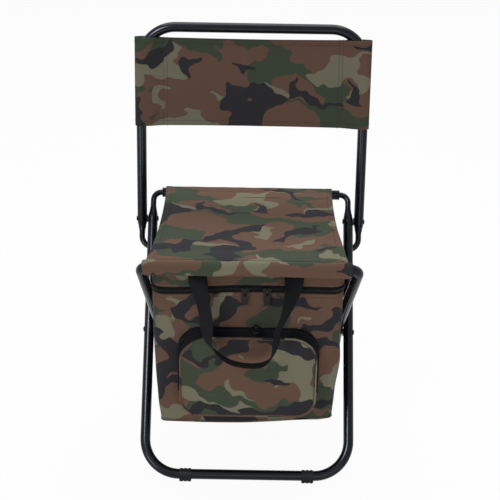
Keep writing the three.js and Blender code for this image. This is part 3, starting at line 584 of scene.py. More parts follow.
def new_piece(name, mesh, material=None):
    """An object for a mesh, shaded smooth; a mesh from a node tree has its material already."""
    piece = bpy.data.objects.new(name, mesh)
    bpy.context.scene.collection.objects.link(piece)
    if material:
        mesh.materials.append(material)
    mesh.polygons.foreach_set("use_smooth", np.ones(len(mesh.polygons), bool))
    return piece


def grid_piece(name, points, material, uv=None, wrap=False, closed=False, caps=(False, False)):
    """A skin over a grid: wrap joins the columns, closed joins the rows, caps fill the end rows."""
    rows, columns = points.shape[:2]
    if uv is None:
        uv = np.zeros((rows + 1, columns + 1, 2))
    faces, corners = [], []
    for r in range(rows if closed else rows - 1):
        low, high = r * columns, (r + 1) % rows * columns
        for c in range(columns if wrap else columns - 1):
            d = (c + 1) % columns
            faces.append((low + c, low + d, high + d, high + c))
            corners += [uv[r, c], uv[r, c + 1], uv[r + 1, c + 1], uv[r + 1, c]]
    for row, filled in zip((0, rows - 1), caps):
        if filled:
            faces.append([row * columns + c for c in range(columns)])
            corners += [uv[row, c] for c in range(columns)]
    mesh = bpy.data.meshes.new(name)
    mesh.from_pydata(points.reshape(-1, 3).tolist(), [], faces)
    layer = mesh.uv_layers.new(name="cloth")
    layer.data.foreach_set("uv", np.array(corners, np.float32).ravel())
    turn_outwards(mesh)
    return new_piece(name, mesh, material)


def turn_outwards(mesh):
    """Makes the faces agree, and point away from the middle of the piece."""
    work = bmesh.new()
    work.from_mesh(mesh)
    bmesh.ops.recalc_face_normals(work, faces=work.faces)
    middle = sum((face.calc_center_median() * face.calc_area() for face in work.faces), Vector())
    middle /= sum(face.calc_area() for face in work.faces)
    facing = sum(
        (face.calc_center_median() - middle).dot(face.normal) * face.calc_area() for face in work.faces)
    if facing < 0:
        bmesh.ops.reverse_faces(work, faces=work.faces)
    work.to_mesh(mesh)
    work.free()


def tube_piece(name, stations, material, sides=32, loop=False):
    """A round tube through stations (point, radius), with flat ends or closed on itself."""
    points = [Vector(point) for point, _ in stations]
    count = len(points)
    rings = []
    normal = None
    for i, (point, radius) in enumerate(stations):
        ahead = points[(i + 1) % count] if loop else points[min(i + 1, count - 1)]
        behind = points[i - 1] if loop else points[max(i - 1, 0)]
        along = (ahead - behind).normalized()
        if normal is None:
            normal = along.orthogonal()
        normal = (normal - along * normal.dot(along)).normalized()
        other = along.cross(normal)
        turns = [2 * math.pi * k / sides for k in range(sides)]
        rings.append([Vector(point) + (normal * math.cos(a) + other * math.sin(a)) * radius for a in turns])
    grid = np.array(rings)
    along = lengths_along(closed_up(np.array(points)))
    around = np.linspace(0, 2 * math.pi * stations[0][1], sides + 1)
    uv = np.stack(np.meshgrid(along, around, indexing="ij"), axis=2)
    return grid_piece(name, grid, material, uv, wrap=True, closed=loop, caps=(not loop, not loop))


def turned_piece(name, profile, origin, axis, material, sides=40):
    """A turned ring or cap: its section is (distance along the axis, radius) in order, closed on itself."""
    axis = Vector(axis).normalized()
    u = axis.orthogonal().normalized()
    v = axis.cross(u)
    grid = np.array([[
        Vector(origin) + axis * along + (u * math.cos(a) + v * math.sin(a)) * radius
        for a in np.linspace(0, 2 * math.pi, sides, endpoint=False)] for along, radius in profile])
    return grid_piece(name, grid, material, wrap=True, closed=True)


def ring_profile(start, end, bore, radius, edge):
    """Section of a plain ring with eased outer edges, for turning."""
    return [(start, bore), (start, radius - edge), (start + edge, radius), (end - edge, radius),
            (end, radius - edge), (end, bore)]


def unevenness(u, v, size, seed):
    """The waver of sewn cloth, from -1 to 1, in waves of about the given size."""
    flat = [noise.noise(Vector((a / size, b / size, seed))) for a, b in zip(np.ravel(u), np.ravel(v))]
    return np.reshape(flat, np.shape(u))


def soft_step(value, start, end):
    """Goes smoothly from 0 at start to 1 at end."""
    t = np.clip((value - start) / (end - start), 0, 1)
    return t * t * (3 - 2 * t)


def bell(value, middle, spread):
    """A smooth hump of height 1."""
    return np.exp(-((value - middle) / spread) ** 2)


def thicken(piece, thickness, lining=None):
    """Gives a sheet its thickness inwards, with an optional material on its inner side."""
    solid = piece.modifiers.new("thickness", "SOLIDIFY")
    solid.thickness = thickness
    solid.offset = -1
    solid.use_even_offset = True
    if lining:
        piece.data.materials.append(lining)
        solid.material_offset = 1
    return piece


def plain_mesh(piece):
    """The mesh that a piece's modifiers make."""
    graph = bpy.context.evaluated_depsgraph_get()
    return bpy.data.meshes.new_from_object(piece.evaluated_get(graph))


def fix_thickness(piece):
    """Makes a sheet's thickness part of its mesh, so that both of its sides flatten together."""
    made = plain_mesh(piece)
    sheet = piece.data
    piece.modifiers.clear()
    piece.data = made
    bpy.data.meshes.remove(sheet)
    made.name = piece.name


def settle(piece, body, slot, *nodes):
    """Fixes a finished piece to its body, and hides the solids that it stands for."""
    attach(piece, body)
    if nodes:
        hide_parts(*nodes)
    return piece


# Geometry Nodes


def node_tree(name, inputs):
    """An empty geometry tree with a geometry socket each way and the given named inputs."""
    tree = bpy.data.node_groups.new(name, "GeometryNodeTree")
    tree.interface.new_socket("Geometry", in_out="INPUT", socket_type="NodeSocketGeometry")
    for label, kind in inputs:
        tree.interface.new_socket(label, in_out="INPUT", socket_type=kind)
    tree.interface.new_socket("Geometry", in_out="OUTPUT", socket_type="NodeSocketGeometry")
    return tree, add_node(tree, "NodeGroupInput").outputs


@made_once("node_groups")
def bead_run(name):
    """Beads set at even steps along lines: stitches lie along their line, zip turns across it."""
    tree, given = node_tree(name, [
        ("Pitch", "NodeSocketFloat"), ("Along", "NodeSocketFloat"), ("Across", "NodeSocketFloat"),
        ("Height", "NodeSocketFloat"), ("Material", "NodeSocketMaterial")])
    line = add_node(tree, "GeometryNodeMeshToCurve", {0: given["Geometry"]})
    steps = add_node(tree, "GeometryNodeResampleCurve", {
        "Curve": line.outputs[0], "Length": given["Pitch"]}, mode="LENGTH")
    out = add_node(tree, "GeometryNodeInputNamedAttribute", {"Name": "outward"}, data_type="FLOAT_VECTOR")
    tangent = add_node(tree, "GeometryNodeInputTangent")
    turn = add_node(tree, "FunctionNodeAxesToRotation", {
        0: tangent.outputs[0], 1: out.outputs[0]}, primary_axis="X", secondary_axis="Z")
    size = add_node(tree, "ShaderNodeCombineXYZ", {
        0: given["Along"], 1: given["Across"], 2: given["Height"]})
    bead = add_node(tree, "GeometryNodeMeshUVSphere", {"Segments": 8, "Rings": 5, "Radius": 0.5})
    beads = add_node(tree, "GeometryNodeInstanceOnPoints", {
        "Points": steps.outputs[0], "Instance": bead.outputs[0],
        "Rotation": turn.outputs[0], "Scale": size.outputs[0]})
    real = add_node(tree, "GeometryNodeRealizeInstances", {0: beads.outputs[0]})
    soft = add_node(tree, "GeometryNodeSetShadeSmooth", {0: real.outputs[0]})
    done = add_node(tree, "GeometryNodeSetMaterial", {0: soft.outputs[0], "Material": given["Material"]})
    add_node(tree, "NodeGroupOutput", {0: done.outputs[0]})
    return tree


@made_once("node_groups")
def domed_rivet(name):
    """A domed head with a thin rim on each point, facing along the point's outward direction."""
    tree, given = node_tree(name, [
        ("Radius", "NodeSocketFloat"), ("Height", "NodeSocketFloat"), ("Rim", "NodeSocketFloat"),
        ("Material", "NodeSocketMaterial")])
    out = add_node(tree, "GeometryNodeInputNamedAttribute", {"Name": "outward"}, data_type="FLOAT_VECTOR")
    turn = add_node(tree, "FunctionNodeAlignRotationToVector", {"Vector": out.outputs[0]}, axis="Z")
    ball = add_node(tree, "GeometryNodeMeshUVSphere", {
        "Segments": 32, "Rings": 16, "Radius": given["Radius"]})
    squat = add_node(tree, "ShaderNodeMath", {
        0: given["Height"], 1: given["Radius"]}, operation="DIVIDE")
    scale = add_node(tree, "ShaderNodeCombineXYZ", {0: 1.0, 1: 1.0, 2: squat.outputs[0]})
    dome = add_node(tree, "GeometryNodeTransform", {"Geometry": ball.outputs[0], "Scale": scale.outputs[0]})
    disc = add_node(tree, "GeometryNodeMeshCylinder", {
        "Vertices": 32, "Radius": given["Radius"], "Depth": given["Rim"]})
    head = add_node(tree, "GeometryNodeJoinGeometry")
    tree.links.new(dome.outputs[0], head.inputs[0])
    tree.links.new(disc.outputs[0], head.inputs[0])
    heads = add_node(tree, "GeometryNodeInstanceOnPoints", {
        "Points": given["Geometry"], "Instance": head.outputs[0], "Rotation": turn.outputs[0]})
    real = add_node(tree, "GeometryNodeRealizeInstances", {0: heads.outputs[0]})
    done = add_node(tree, "GeometryNodeSetMaterial", {0: real.outputs[0], "Material": given["Material"]})
    add_node(tree, "NodeGroupOutput", {0: done.outputs[0]})
    return tree


def grown_piece(name, tree, lines, values):
    """Runs a tree on lines of (points, outward directions) and keeps the result as a plain mesh."""
    points = np.vstack([line for line, _ in lines])
    outward = np.vstack([out for _, out in lines])
    edges = []
    first = 0
    for line, _ in lines:
        edges += [(first + i, first + i + 1) for i in range(len(line) - 1)]
        first += len(line)
    source = bpy.data.meshes.new(name + "_line")
    source.from_pydata(points.tolist(), edges, [])
    attribute = source.attributes.new("outward", "FLOAT_VECTOR", "POINT")
    attribute.data.foreach_set("vector", np.asarray(outward, np.float32).ravel())
    carrier = bpy.data.objects.new(name + "_line", source)
    bpy.context.scene.collection.objects.link(carrier)
    modifier = carrier.modifiers.new(tree.name, "NODES")
    modifier.node_group = tree
    for socket in tree.interface.items_tree:
        if socket.in_out == "INPUT" and socket.name in values:
            modifier[socket.identifier] = values[socket.name]
    mesh = plain_mesh(carrier)
    bpy.data.objects.remove(carrier)
    if not mesh.polygons:
        raise RuntimeError(f"{name}: the tree made no faces")
    mesh.name = name
    return new_piece(name, mesh)


def stitch_line(points, normals, ring=False):
    """A line for stitches, just proud of the cloth."""
    proud = 0.1 * MM
    line = points + normals * proud
    return (closed_up(line), closed_up(normals)) if ring else (line, normals)


def stitch_piece(name, lines):
    """Stitches along lines: each shows a grain of thread."""
    sizes = bpy.context.scene.stool_sizes
    return grown_piece(name, bead_run(), lines, {
        "Pitch": sizes.stitch_pitch, "Along": sizes.stitch_length, "Across": 0.8 * MM, "Height": 0.6 * MM,
        "Material": bonded_sewing_thread()})


def coil_piece(name, line):
    """A zip's coil along a line: each turn shows as a grain across it."""
    sizes = bpy.context.scene.stool_sizes
    return grown_piece(name, bead_run(), [line], {
        "Pitch": sizes.coil_pitch, "Along": 1.25 * MM, "Across": 4.2 * MM, "Height": 2.2 * MM,
        "Material": nylon_zip_coil()})


# Frames


def leg_point(x, s, lean):
    """A point on a leg frame, from its place across and its distance up the leg from the cross pivot."""
    return Vector((x, CROSS.y + s * math.sin(lean), CROSS.z + s * math.cos(lean)))


def backrest_point(x, depth, up):
    """A point on the backrest, from its place across, behind and above the backrest pivot."""
    sine, cosine = math.sin(BACKREST_LEAN), math.cos(BACKREST_LEAN)
    y = BACKREST_PIVOT.y + depth * cosine + up * sine
    z = BACKREST_PIVOT.z - depth * sine + up * cosine
    return Vector((x, y, z))


def whole_frame(half):
    """Stations of a bent frame from left to right, from a function for the corners of one side."""
    return bent_path([*half(-1), *reversed(half(1))])


def outer_leg_stations():
    """Necks in the rear bar, cones below them, and the front bottom bar."""
    cone_base = BACKREST_PIVOT_S + 1 * MM
    cone_top = cone_base + 21 * MM
    neck_end = REAR_BAR_HALF - 16 * MM
    neck_bend = 12 * MM

    def half(side):
        cone = [
            (leg_point(side * OUTER_X, cone_top + (cone_base - cone_top) * t, LEG_LEAN), 0,
             NECK_R + (TUBE_R - NECK_R) * float(soft_step(t, 0, 1)))
            for t in np.linspace(0, 1, 9)]
        return [
            (leg_point(side * neck_end, LEG_REACH, LEG_LEAN), 0, NECK_R),
            (leg_point(side * OUTER_X, LEG_REACH, LEG_LEAN), neck_bend, NECK_R),
            *cone,
            (leg_point(side * OUTER_X, -LEG_REACH, LEG_LEAN), LEG_BEND, TUBE_R),
        ]
    return whole_frame(half)


def inner_leg_stations():
    """Reduced ends in the front bar, legs that flare above the cross pivot, and the rear bottom bar."""
    end_r = TUBE_R - 1.2 * MM
    end = FRONT_BAR_HALF - 20 * MM
    shoulder = FRONT_BAR_HALF + 0.3 * MM
    top_bend = 14 * MM
    flare_start, flare_bend = 25 * MM, 60 * MM

    def half(side):
        return [
            (leg_point(side * end, LEG_REACH, -LEG_LEAN), 0, end_r),
            (leg_point(side * FRONT_BAR_HALF, LEG_REACH, -LEG_LEAN), 0, end_r),
            (leg_point(side * shoulder, LEG_REACH, -LEG_LEAN), 0, TUBE_R),
            (leg_point(side * OUTER_X, LEG_REACH, -LEG_LEAN), top_bend, TUBE_R),
            (leg_point(side * INNER_X, flare_start, -LEG_LEAN), flare_bend, TUBE_R),
            (leg_point(side * INNER_X, -LEG_REACH, -LEG_LEAN), LEG_BEND, TUBE_R),
        ]
    return whole_frame(half)


# Hooks at the backrest's lower ends: necked, cranked and curled behind the outer legs
HOOK_CURL = math.radians(70)
HOOK_KINK = -12 * MM
HOOK_DROP = 26 * MM
HOOK_TAIL = 22 * MM
HOOK_CAP_R = 5.1 * MM
HOOK_CLEARANCE = 0.8 * MM
HOOK_SPLAY = LEG_LEAN - BACKREST_LEAN
HOOK_STAND_OFF = TUBE_R + HOOK_CLEARANCE + HOOK_CAP_R + HOOK_KINK * math.sin(HOOK_SPLAY)
HOOK_CRANK = HOOK_SPLAY - math.asin(HOOK_STAND_OFF / (HOOK_DROP + HOOK_TAIL * math.cos(HOOK_CURL)))


def hook_points(side):
    """Kink, corner and tip of the hook that stops the recline behind the outer leg."""
    down = Vector((0, -math.sin(HOOK_CRANK), -math.cos(HOOK_CRANK)))
    inward = Vector((-side, 0, 0))
    kink = Vector((side * BACKREST_X, 0, HOOK_KINK))
    corner = kink + down * HOOK_DROP
    tip = corner + (down * math.cos(HOOK_CURL) + inward * math.sin(HOOK_CURL)) * HOOK_TAIL
    return [backrest_point(*point) for point in (kink, corner, tip)]


def backrest_stations():
    """Hooks, posts and the top bar; the tube narrows to its neck on both sides of the kink."""
    middle_r = (NECK_R + TUBE_R) / 2
    taper = 10 * MM / HOOK_DROP
    corner_bend, kink_bend = 16 * MM, 8 * MM
    shares = (0.4, 0.7, 1)

    def half(side):
        kink, corner, tip = hook_points(side)
        flare_top = backrest_point(side * BACKREST_X, 0, -2.5 * MM)

        def radius(share, end_r):
            return middle_r + (end_r - middle_r) * math.sin(share * math.pi / 2)
        below = [(kink.lerp(corner, taper * t), 0, radius(t, NECK_R)) for t in reversed(shares)]
        above = [(kink.lerp(flare_top, t), 0, radius(t, TUBE_R)) for t in shares]
        return [
            (tip, 0, NECK_R),
            (corner, corner_bend, NECK_R),
            *below,
            (kink, kink_bend, middle_r),
            *above,
            (backrest_point(side * BACKREST_X, 0, BACKREST_LENGTH), BACKREST_BEND, TUBE_R),
        ]
    return whole_frame(half)


class STOOL_OT_tubes(bpy.types.Operator):
    """Bend the two leg frames, the backrest frame and the seat bars"""

    bl_idname = "stool.tubes"
    bl_label = "Tubes"

    def execute(self, context):
        enamel = black_enamel_on_steel()
        for name, stations, body, node in (
                ("outer_legs", outer_leg_stations(), "outer_frame", "outer_leg_frame"),
                ("inner_legs", inner_leg_stations(), "inner_frame", "inner_leg_frame"),
                ("backrest_hoop", backrest_stations(), "backrest", "backrest_frame")):
            settle(tube_piece(name, stations, enamel), body, "enamel", node)
        wall, edge = 0.9 * MM, 0.5 * MM
        for name, middle, half, body, node in (
                ("front_bar", FRONT_BAR, FRONT_BAR_HALF, "inner_frame", "front_seat_bar"),
                ("rear_bar", REAR_BAR, REAR_BAR_HALF, "outer_frame", "rear_seat_bar")):
            profile = ring_profile(-half, half, TUBE_R - wall, TUBE_R, edge)
            settle(turned_piece(name, profile, middle, ACROSS, enamel), body, "enamel", node)
        return {"FINISHED"}


FIT_GAP = 0.3 * MM


class STOOL_OT_fittings(bpy.types.Operator):
    """Set the rivet heads, the washers and bushes at the pivots, and the caps on the hooks"""

    bl_idname = "stool.fittings"
    bl_label = "Rivets, Washers and Caps"

    def execute(self, context):
        self.rivets()
        for side, sign in (("left", -1), ("right", 1)):
            self.washers_and_bush(side, sign)
            self.hook_cap(side, sign)
        return {"FINISHED"}

    @staticmethod
    def rivets():
        """A head on each end of the two cross rivets and the two backrest rivets."""
        heads = []
        for s, near, far in ((0, INNER_X, OUTER_X), (BACKREST_PIVOT_S, OUTER_X, BACKREST_X)):
            for side in (-1, 1):
                for x, way in ((near - TUBE_R, -side), (far + TUBE_R, side)):
                    point = leg_point(side * x, s, LEG_LEAN)
                    heads.append((np.array([point]), np.array([(way, 0, 0)])))
        rivets = grown_piece("rivet_heads", domed_rivet(), heads, {
            "Radius": 3.9 * MM, "Height": 1.6 * MM, "Rim": 0.9 * MM, "Material": blackened_rivet_steel()})
        settle(rivets, "outer_frame", "rivet", *(
            f"{place}_pivot_rivet_{side}" for place in ("cross", "backrest") for side in ("left", "right")))

    @staticmethod
    def washers_and_bush(side, sign):
        """A washer between the tubes at each pivot, and the bush that holds the outer leg's neck."""
        edge = 0.35 * MM
        washer_bore, washer_r, washer_width = 2.8 * MM, 6 * MM, PIVOT_SPACE - 2 * FIT_GAP
        bush_fit, bush_width = 0.2 * MM, 1.6 * MM
        cross = leg_point(sign * (INNER_X + TUBE_R + FIT_GAP), 0, LEG_LEAN)
        backrest = leg_point(sign * (OUTER_X + TUBE_R + FIT_GAP), BACKREST_PIVOT_S, LEG_LEAN)
        bar_end = REAR_BAR + Vector((sign * (REAR_BAR_HALF + FIT_GAP), 0, 0))
        washer = ring_profile(0, washer_width, washer_bore, washer_r, edge)
        bush = ring_profile(0, bush_width, NECK_R + bush_fit, TUBE_R + bush_fit, edge)
        for name, profile, origin, node in (
                ("cross_washer", washer, cross, "cross_pivot_washer"),
                ("backrest_washer", washer, backrest, "backrest_pivot_washer"),
                ("bar_bush", bush, bar_end, "rear_bar_bush")):
            ring = turned_piece(f"{name}_{side}", profile, origin, (sign, 0, 0), moulded_black_rubber())
            settle(ring, "outer_frame", "black_rubber", f"{node}_{side}")

    @staticmethod
    def hook_cap(side, sign):
        """A dipped cap with a rounded end."""
        _, corner, tip = hook_points(sign)
        bore, pole, mouth = NECK_R + FIT_GAP, 0.1 * MM, -9 * MM
        profile = [
            (mouth, bore), (mouth, HOOK_CAP_R - 0.3 * MM), (mouth + 0.4 * MM, HOOK_CAP_R),
            (0.4 * MM, HOOK_CAP_R), (1.2 * MM, HOOK_CAP_R - 0.7 * MM), (1.5 * MM, HOOK_CAP_R - 2 * MM),
            (1.6 * MM, pole), (FIT_GAP, pole), (FIT_GAP, bore)]
        along = (tip - corner).normalized()
        cap = turned_piece(f"hook_end_{side}", profile, tip, along, moulded_black_rubber())
        settle(cap, "backrest", "black_rubber", f"hook_cap_{side}")


# Feet: a clip round the bottom bar, whose front is thin
FOOT_R = 8.5 * MM
FOOT_BORE = TUBE_R + 0.2 * MM
FOOT_THIN_R = FOOT_BORE + 0.3 * MM
FOOT_THIN_WAY = math.radians(155)
FOOT_PAD_HALF = 7.2 * MM
FOOT_RIB = 0.9 * MM
FOOT_RIB_PITCH = 5.7 * MM


class STOOL_OT_feet(bpy.types.Operator):
    """Clip the four ribbed feet to the bottom bars"""

    bl_idname = "stool.feet"
    bl_label = "Feet"

    def execute(self, context):
        for end, body in (("front", "outer_frame"), ("rear", "inner_frame")):
            for side in ("left", "right"):
                low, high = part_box(f"{end}_foot_{side}")
                piece = self.clip(f"{end}_clip_{side}", low, high)
                settle(piece, body, "black_rubber", f"{end}_foot_{side}")
        return {"FINISHED"}

    @staticmethod
    def clip(name, low, high):
        """A clip that is thin and smooth in front, with ribs above and behind and a flat pad under it."""
        turns = np.linspace(0, 2 * math.pi, 48, endpoint=False)
        half = (high.x - low.x) / 2
        middle = (low + high) / 2

        def ring(x, radius, footed):
            points = []
            for a in turns:
                front = soft_step(math.cos(a - FOOT_THIN_WAY), 0.4, 0.75) if footed else 0
                reach = radius + (FOOT_THIN_R - radius) * front
                y, z = reach * math.cos(a), reach * math.sin(a)
                if footed and a > math.pi:
                    y = max(-FOOT_PAD_HALF, min(FOOT_PAD_HALF, y * 1.25))
                    z = max(-radius, z * 1.35)
                points.append((middle.x + x, middle.y + y, FOOT_R + z))
            return points
        rings = []
        for x in np.linspace(-half, half, 53):
            ends = soft_step(half - abs(x), 0, 1 * MM)
            crest = 0.5 + 0.5 * math.cos(2 * math.pi * x / FOOT_RIB_PITCH)
            rings.append(ring(x, FOOT_R - FOOT_RIB * (1 - crest ** 0.6 * ends), True))
        rings += [ring(x, FOOT_BORE, False) for x in np.linspace(half, -half, 3)]
        return grid_piece(name, np.array(rings), moulded_black_rubber(), wrap=True, closed=True)


# Cloth on the frames


class STOOL_OT_backrest_cover(bpy.types.Operator):
    """Sew the backrest cover: two layers, a sleeve down each side and a hem at top and bottom"""

    bl_idname = "stool.backrest_cover"
    bl_label = "Backrest Cover"

    def execute(self, context):
        up = np.linspace(COVER_BOTTOM, COVER_TOP, 71)
        middle = len(up) // 2
        points = self.loop(up)
        around = lengths_along(closed_up(points[middle]))
        uv = np.stack(np.meshgrid(up, around, indexing="ij")[::-1], axis=2) + CLOTH_CUT["backrest"]
        cover = grid_piece("backrest_cover_cloth", points, printed_oxford_polyester(), uv, wrap=True)
        thicken(cover, context.scene.stool_sizes.cloth)
        settle(cover, "backrest", "camouflage_cloth", "backrest_cover")
        normals = grid_normals(points, True, (middle, points.shape[1] // 4), FRONT)
        lines = []
        for height in (COVER_BOTTOM + HEM, COVER_TOP - HEM):
            row = np.argmin(np.abs(up - height))
            lines.append(stitch_line(points[row], normals[row], ring=True))
        across = np.abs(points[middle, :, 0])
        seam_width, near = 5.5 * MM, 0.9 * MM
        for place in (COVER_SEAM, COVER_SEAM - seam_width):
            for column in np.where(np.abs(across - place) < near)[0]:
                lines.append(stitch_line(points[:, column], normals[:, column]))
        settle(stitch_piece("backrest_stitches", lines), "backrest", "camouflage_cloth")
        return {"FINISHED"}

    def loop(self, up):
        """Rows round both posts: along the front from left to right, then back again behind."""
        panel = np.linspace(0, COVER_SEAM, 55)
        right = np.array([self.section(height, panel) for height in up])
        left = right[:, ::-1] * (-1, 1)
        back_left, back_right = left[:, ::-1] * (1, -1), right[:, ::-1] * (1, -1)
        loop = np.concatenate([left[:, :-1], right, back_right[:, 1:], back_left[:, 1:-1]], axis=1)
        x, depth = loop[..., 0], loop[..., 1]
        height = np.repeat(up[:, None], loop.shape[1], axis=1)
        edge = np.minimum(height - COVER_BOTTOM, COVER_TOP - height)
        pull = np.clip(1 - (x / BACKREST_X) ** 2, 0, 1)
        half = np.sign(height - (COVER_TOP + COVER_BOTTOM) / 2)
        bow = 1.6 * MM * pull * half * (1 - soft_step(edge, 0, 40 * MM))
        hem = 0.35 * MM * soft_step(edge, HEM_FADE, HEM)
        seam = bell(np.abs(x), COVER_SEAM - 2.5 * MM, 9 * MM)
        pucker = 0.45 * MM * seam * unevenness(x, height, 7 * MM, 3.0)
        slack = 0.9 * MM * unevenness(x, height, 55 * MM, 8.0) * pull
        crease = 0.7 * MM * bell(x, -10 * MM, 6 * MM) * soft_step(edge, 0, 15 * MM)
        layer = np.where(depth < 0, -1, 1)
        depth = depth + layer * (hem + pucker) + slack - crease
        places = np.stack([x, depth, height - bow], axis=2)
        return np.array([[backrest_point(*place) for place in row] for row in places])

    @staticmethod
    def section(height, panel):
        """Front right half of the cover at one height, from the middle to its edge, as (across, depth)."""
        into_bend = max(0, height - (BACKREST_LENGTH - BACKREST_BEND))
        tube_x = BACKREST_X - BACKREST_BEND + math.sqrt(BACKREST_BEND ** 2 - into_bend ** 2)
        radius = TUBE_R + 1.9 * MM
        outer = BACKREST_X + radius
        gap, crown = 1.3 * MM, 0.5 * MM
        points = [(x, -gap - crown * (1 - (x / COVER_SEAM) ** 2)) for x in panel]
        for t in np.linspace(0, 1, 16)[1:]:
            x = COVER_SEAM + (tube_x - COVER_SEAM) * t
            points.append((x, -gap - (radius - gap) * math.sin(t * math.pi / 2) ** 1.3))
        for a in np.linspace(0, math.pi / 2, 14)[1:]:
            points.append((tube_x + (outer - tube_x) * math.sin(a), -radius * math.cos(a)))
        return points


# Rolls at the ends of the seat, as (behind the bar, above the bar, half length) in millimetres
FRONT_ROLL = [
    (12, 7, 129), (11.5, -2, 129), (9, -8.5, 129.5), (3.5, -12.3, 131), (-3, -11.5, 134.5),
    (-8, -6, 138), (-9.4, 1, 139.3), (-7.9, 6, 139.5), (-5.2, 9.1, 139.4), (-2.4, 10.2, 138.6),
    (0, 9.6, 136.4), (1.4, 9.1, 135), (4, 9.9, 133),
]
REAR_ROLL = [
    (-14, 9.6, 123.5), (-6, 9.9, 124), (1, 9.4, 124), (7, 5.7, 124), (9.1, 0, 124), (6.5, -6.2, 124),
    (1, -8.9, 124), (-5, -7.2, 124), (-8.6, -2, 124), (-9.5, 5, 123),
]
SEAT_SLIP = -3 * MM
SEAT_RISE = 10.2 * MM
SEAT_WAIST = 4 * MM
LINING_GAP = 3.8 * MM
LINING = 2.5 * MM
LINING_INSET = 8


class STOOL_OT_seat_cover(bpy.types.Operator):
    """Stretch the seat cloth between the two bars, rolled round each, with its lid lining below"""

    bl_idname = "stool.seat_cover"
    bl_label = "Seat Cover"

    def execute(self, context):
        sizes = context.scene.stool_sizes
        profile = self.profile(sizes.seat_sag)
        half = profile[:, 2]
        rows, columns = len(profile), 101
        across = np.linspace(-1, 1, columns)
        along = lengths_along(profile[:, :2])
        x = SEAT_SLIP + half[:, None] * across
        y, z, v = (np.repeat(column[:, None], columns, axis=1) for column in (*profile.T[:2], along))
        points = np.stack([x, y, z], axis=2)
        normals = grid_normals(points, False, (rows // 2, columns // 2), UP)
        edge = half[:, None] * (1 - np.abs(across))
        top = soft_step(y, FRONT_BAR.y + 4 * MM, FRONT_BAR.y + 40 * MM) * soft_step(
            y, REAR_BAR.y - 10 * MM, REAR_BAR.y - 40 * MM)
        hem = 0.45 * MM * soft_step(edge, HEM_FADE, HEM)
        slack = 0.8 * MM * unevenness(x, v, 60 * MM, 21.0) * top
        roll = 0.5 * MM * unevenness(x, v * 0.5, 22 * MM, 33.0) * (1 - top)
        cup = -sizes.seat_sag * 0.5 * (1 - across[None, :] ** 2) * top
        points = points + normals * (hem + slack + roll + cup)[..., None]
        uv = np.stack([x, v], axis=2) + CLOTH_CUT["seat"]
        seat = grid_piece("seat_cloth", points, printed_oxford_polyester(), uv)
        self.face_up(seat)
        thicken(seat, sizes.cloth)
        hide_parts("seat_panel", "front_sleeve", "rear_sleeve")
        self.bend(seat, "camouflage_cloth")
        edge_y, edge_z = points[:, 0, 1], points[:, 0, 2]
        top_rows = np.where((edge_y > FRONT_BAR.y + 4 * MM) & (edge_y < REAR_BAR.y - 6 * MM)
                            & (edge_z > FRONT_BAR.z + 8 * MM))[0]
        self.stitches(points, normals, top_rows, half[rows // 2])
        self.lid_lining(points, normals, top_rows)
        return {"FINISHED"}

    @staticmethod
    def profile(sag):
        """Section of the seat from the front roll's seam to the rear one's: (y, z, half width)."""
        front, rear = (
            [(bar.y + y * MM, bar.z + z * MM, half * MM) for y, z, half in roll]
            for bar, roll in ((FRONT_BAR, FRONT_ROLL), (REAR_BAR, REAR_ROLL)))
        panel = []
        for t in np.linspace(0.06, 0.94, 12):
            hang = 4 * t * (1 - t)
            y = front[-1][0] + (rear[0][0] - front[-1][0]) * t
            z = FRONT_BAR.z + SEAT_RISE - sag * 0.5 * hang
            half = front[-1][2] + (rear[0][2] - front[-1][2]) * t - SEAT_WAIST * hang
            panel.append((y, z, half))
        return smooth_line([*front, *panel, *rear], 190)

    def stitches(self, points, normals, top_rows, half):
        """Lines of stitches behind the front roll, before the rear roll and along each side hem."""
        middle = points.shape[1] // 2
        lines = []
        for y in (FRONT_BAR.y + 3.4 * MM, REAR_BAR.y - 15 * MM):
            # A row below the bars counts as a metre away
            below = points[:, middle, 2] < FRONT_BAR.z
            row = np.argmin(np.abs(points[:, middle, 1] - y) + below)
            lines.append(stitch_line(points[row], normals[row]))
        across = np.linspace(-1, 1, points.shape[1])
        inset = 1 - 6.5 * MM / half
        for place in (-inset, inset):
            column = np.argmin(np.abs(across - place))
            lines.append(stitch_line(points[top_rows, column], normals[top_rows, column]))
        self.bend(stitch_piece("seat_stitches", lines), "camouflage_cloth")

    def lid_lining(self, points, normals, top_rows):
        """The foil-faced pad under the seat, which closes the bag."""
        near, far = (corner[1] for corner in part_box("lid_insulation"))
        inside = [row for row in top_rows if near < points[row, 0, 1] < far]
        columns = slice(LINING_INSET, -LINING_INSET)
        sheet = points[inside][:, columns] - normals[inside][:, columns] * LINING_GAP
        pad = grid_piece("lid_lining", sheet, foil_faced_foam())
        self.face_up(pad)
        thicken(pad, LINING)
        flatten_with_legs(pad, "foil_foam", "lid_insulation",
                          lean=math.radians(11), height=LID_TOP_Z, keep=0.02)

    @staticmethod
    def face_up(piece):
        """A flat sheet has no inside to turn away from, so its top is found by its height."""
        top = [face for face in piece.data.polygons if face.center.z > FRONT_BAR.z]
        if sum(face.normal.z * face.area for face in top) < 0:
            piece.data.flip_normals()

    @staticmethod
    def bend(piece, slot):
        """Bakes the piece's placement into its mesh."""
        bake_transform(piece)


# Bag

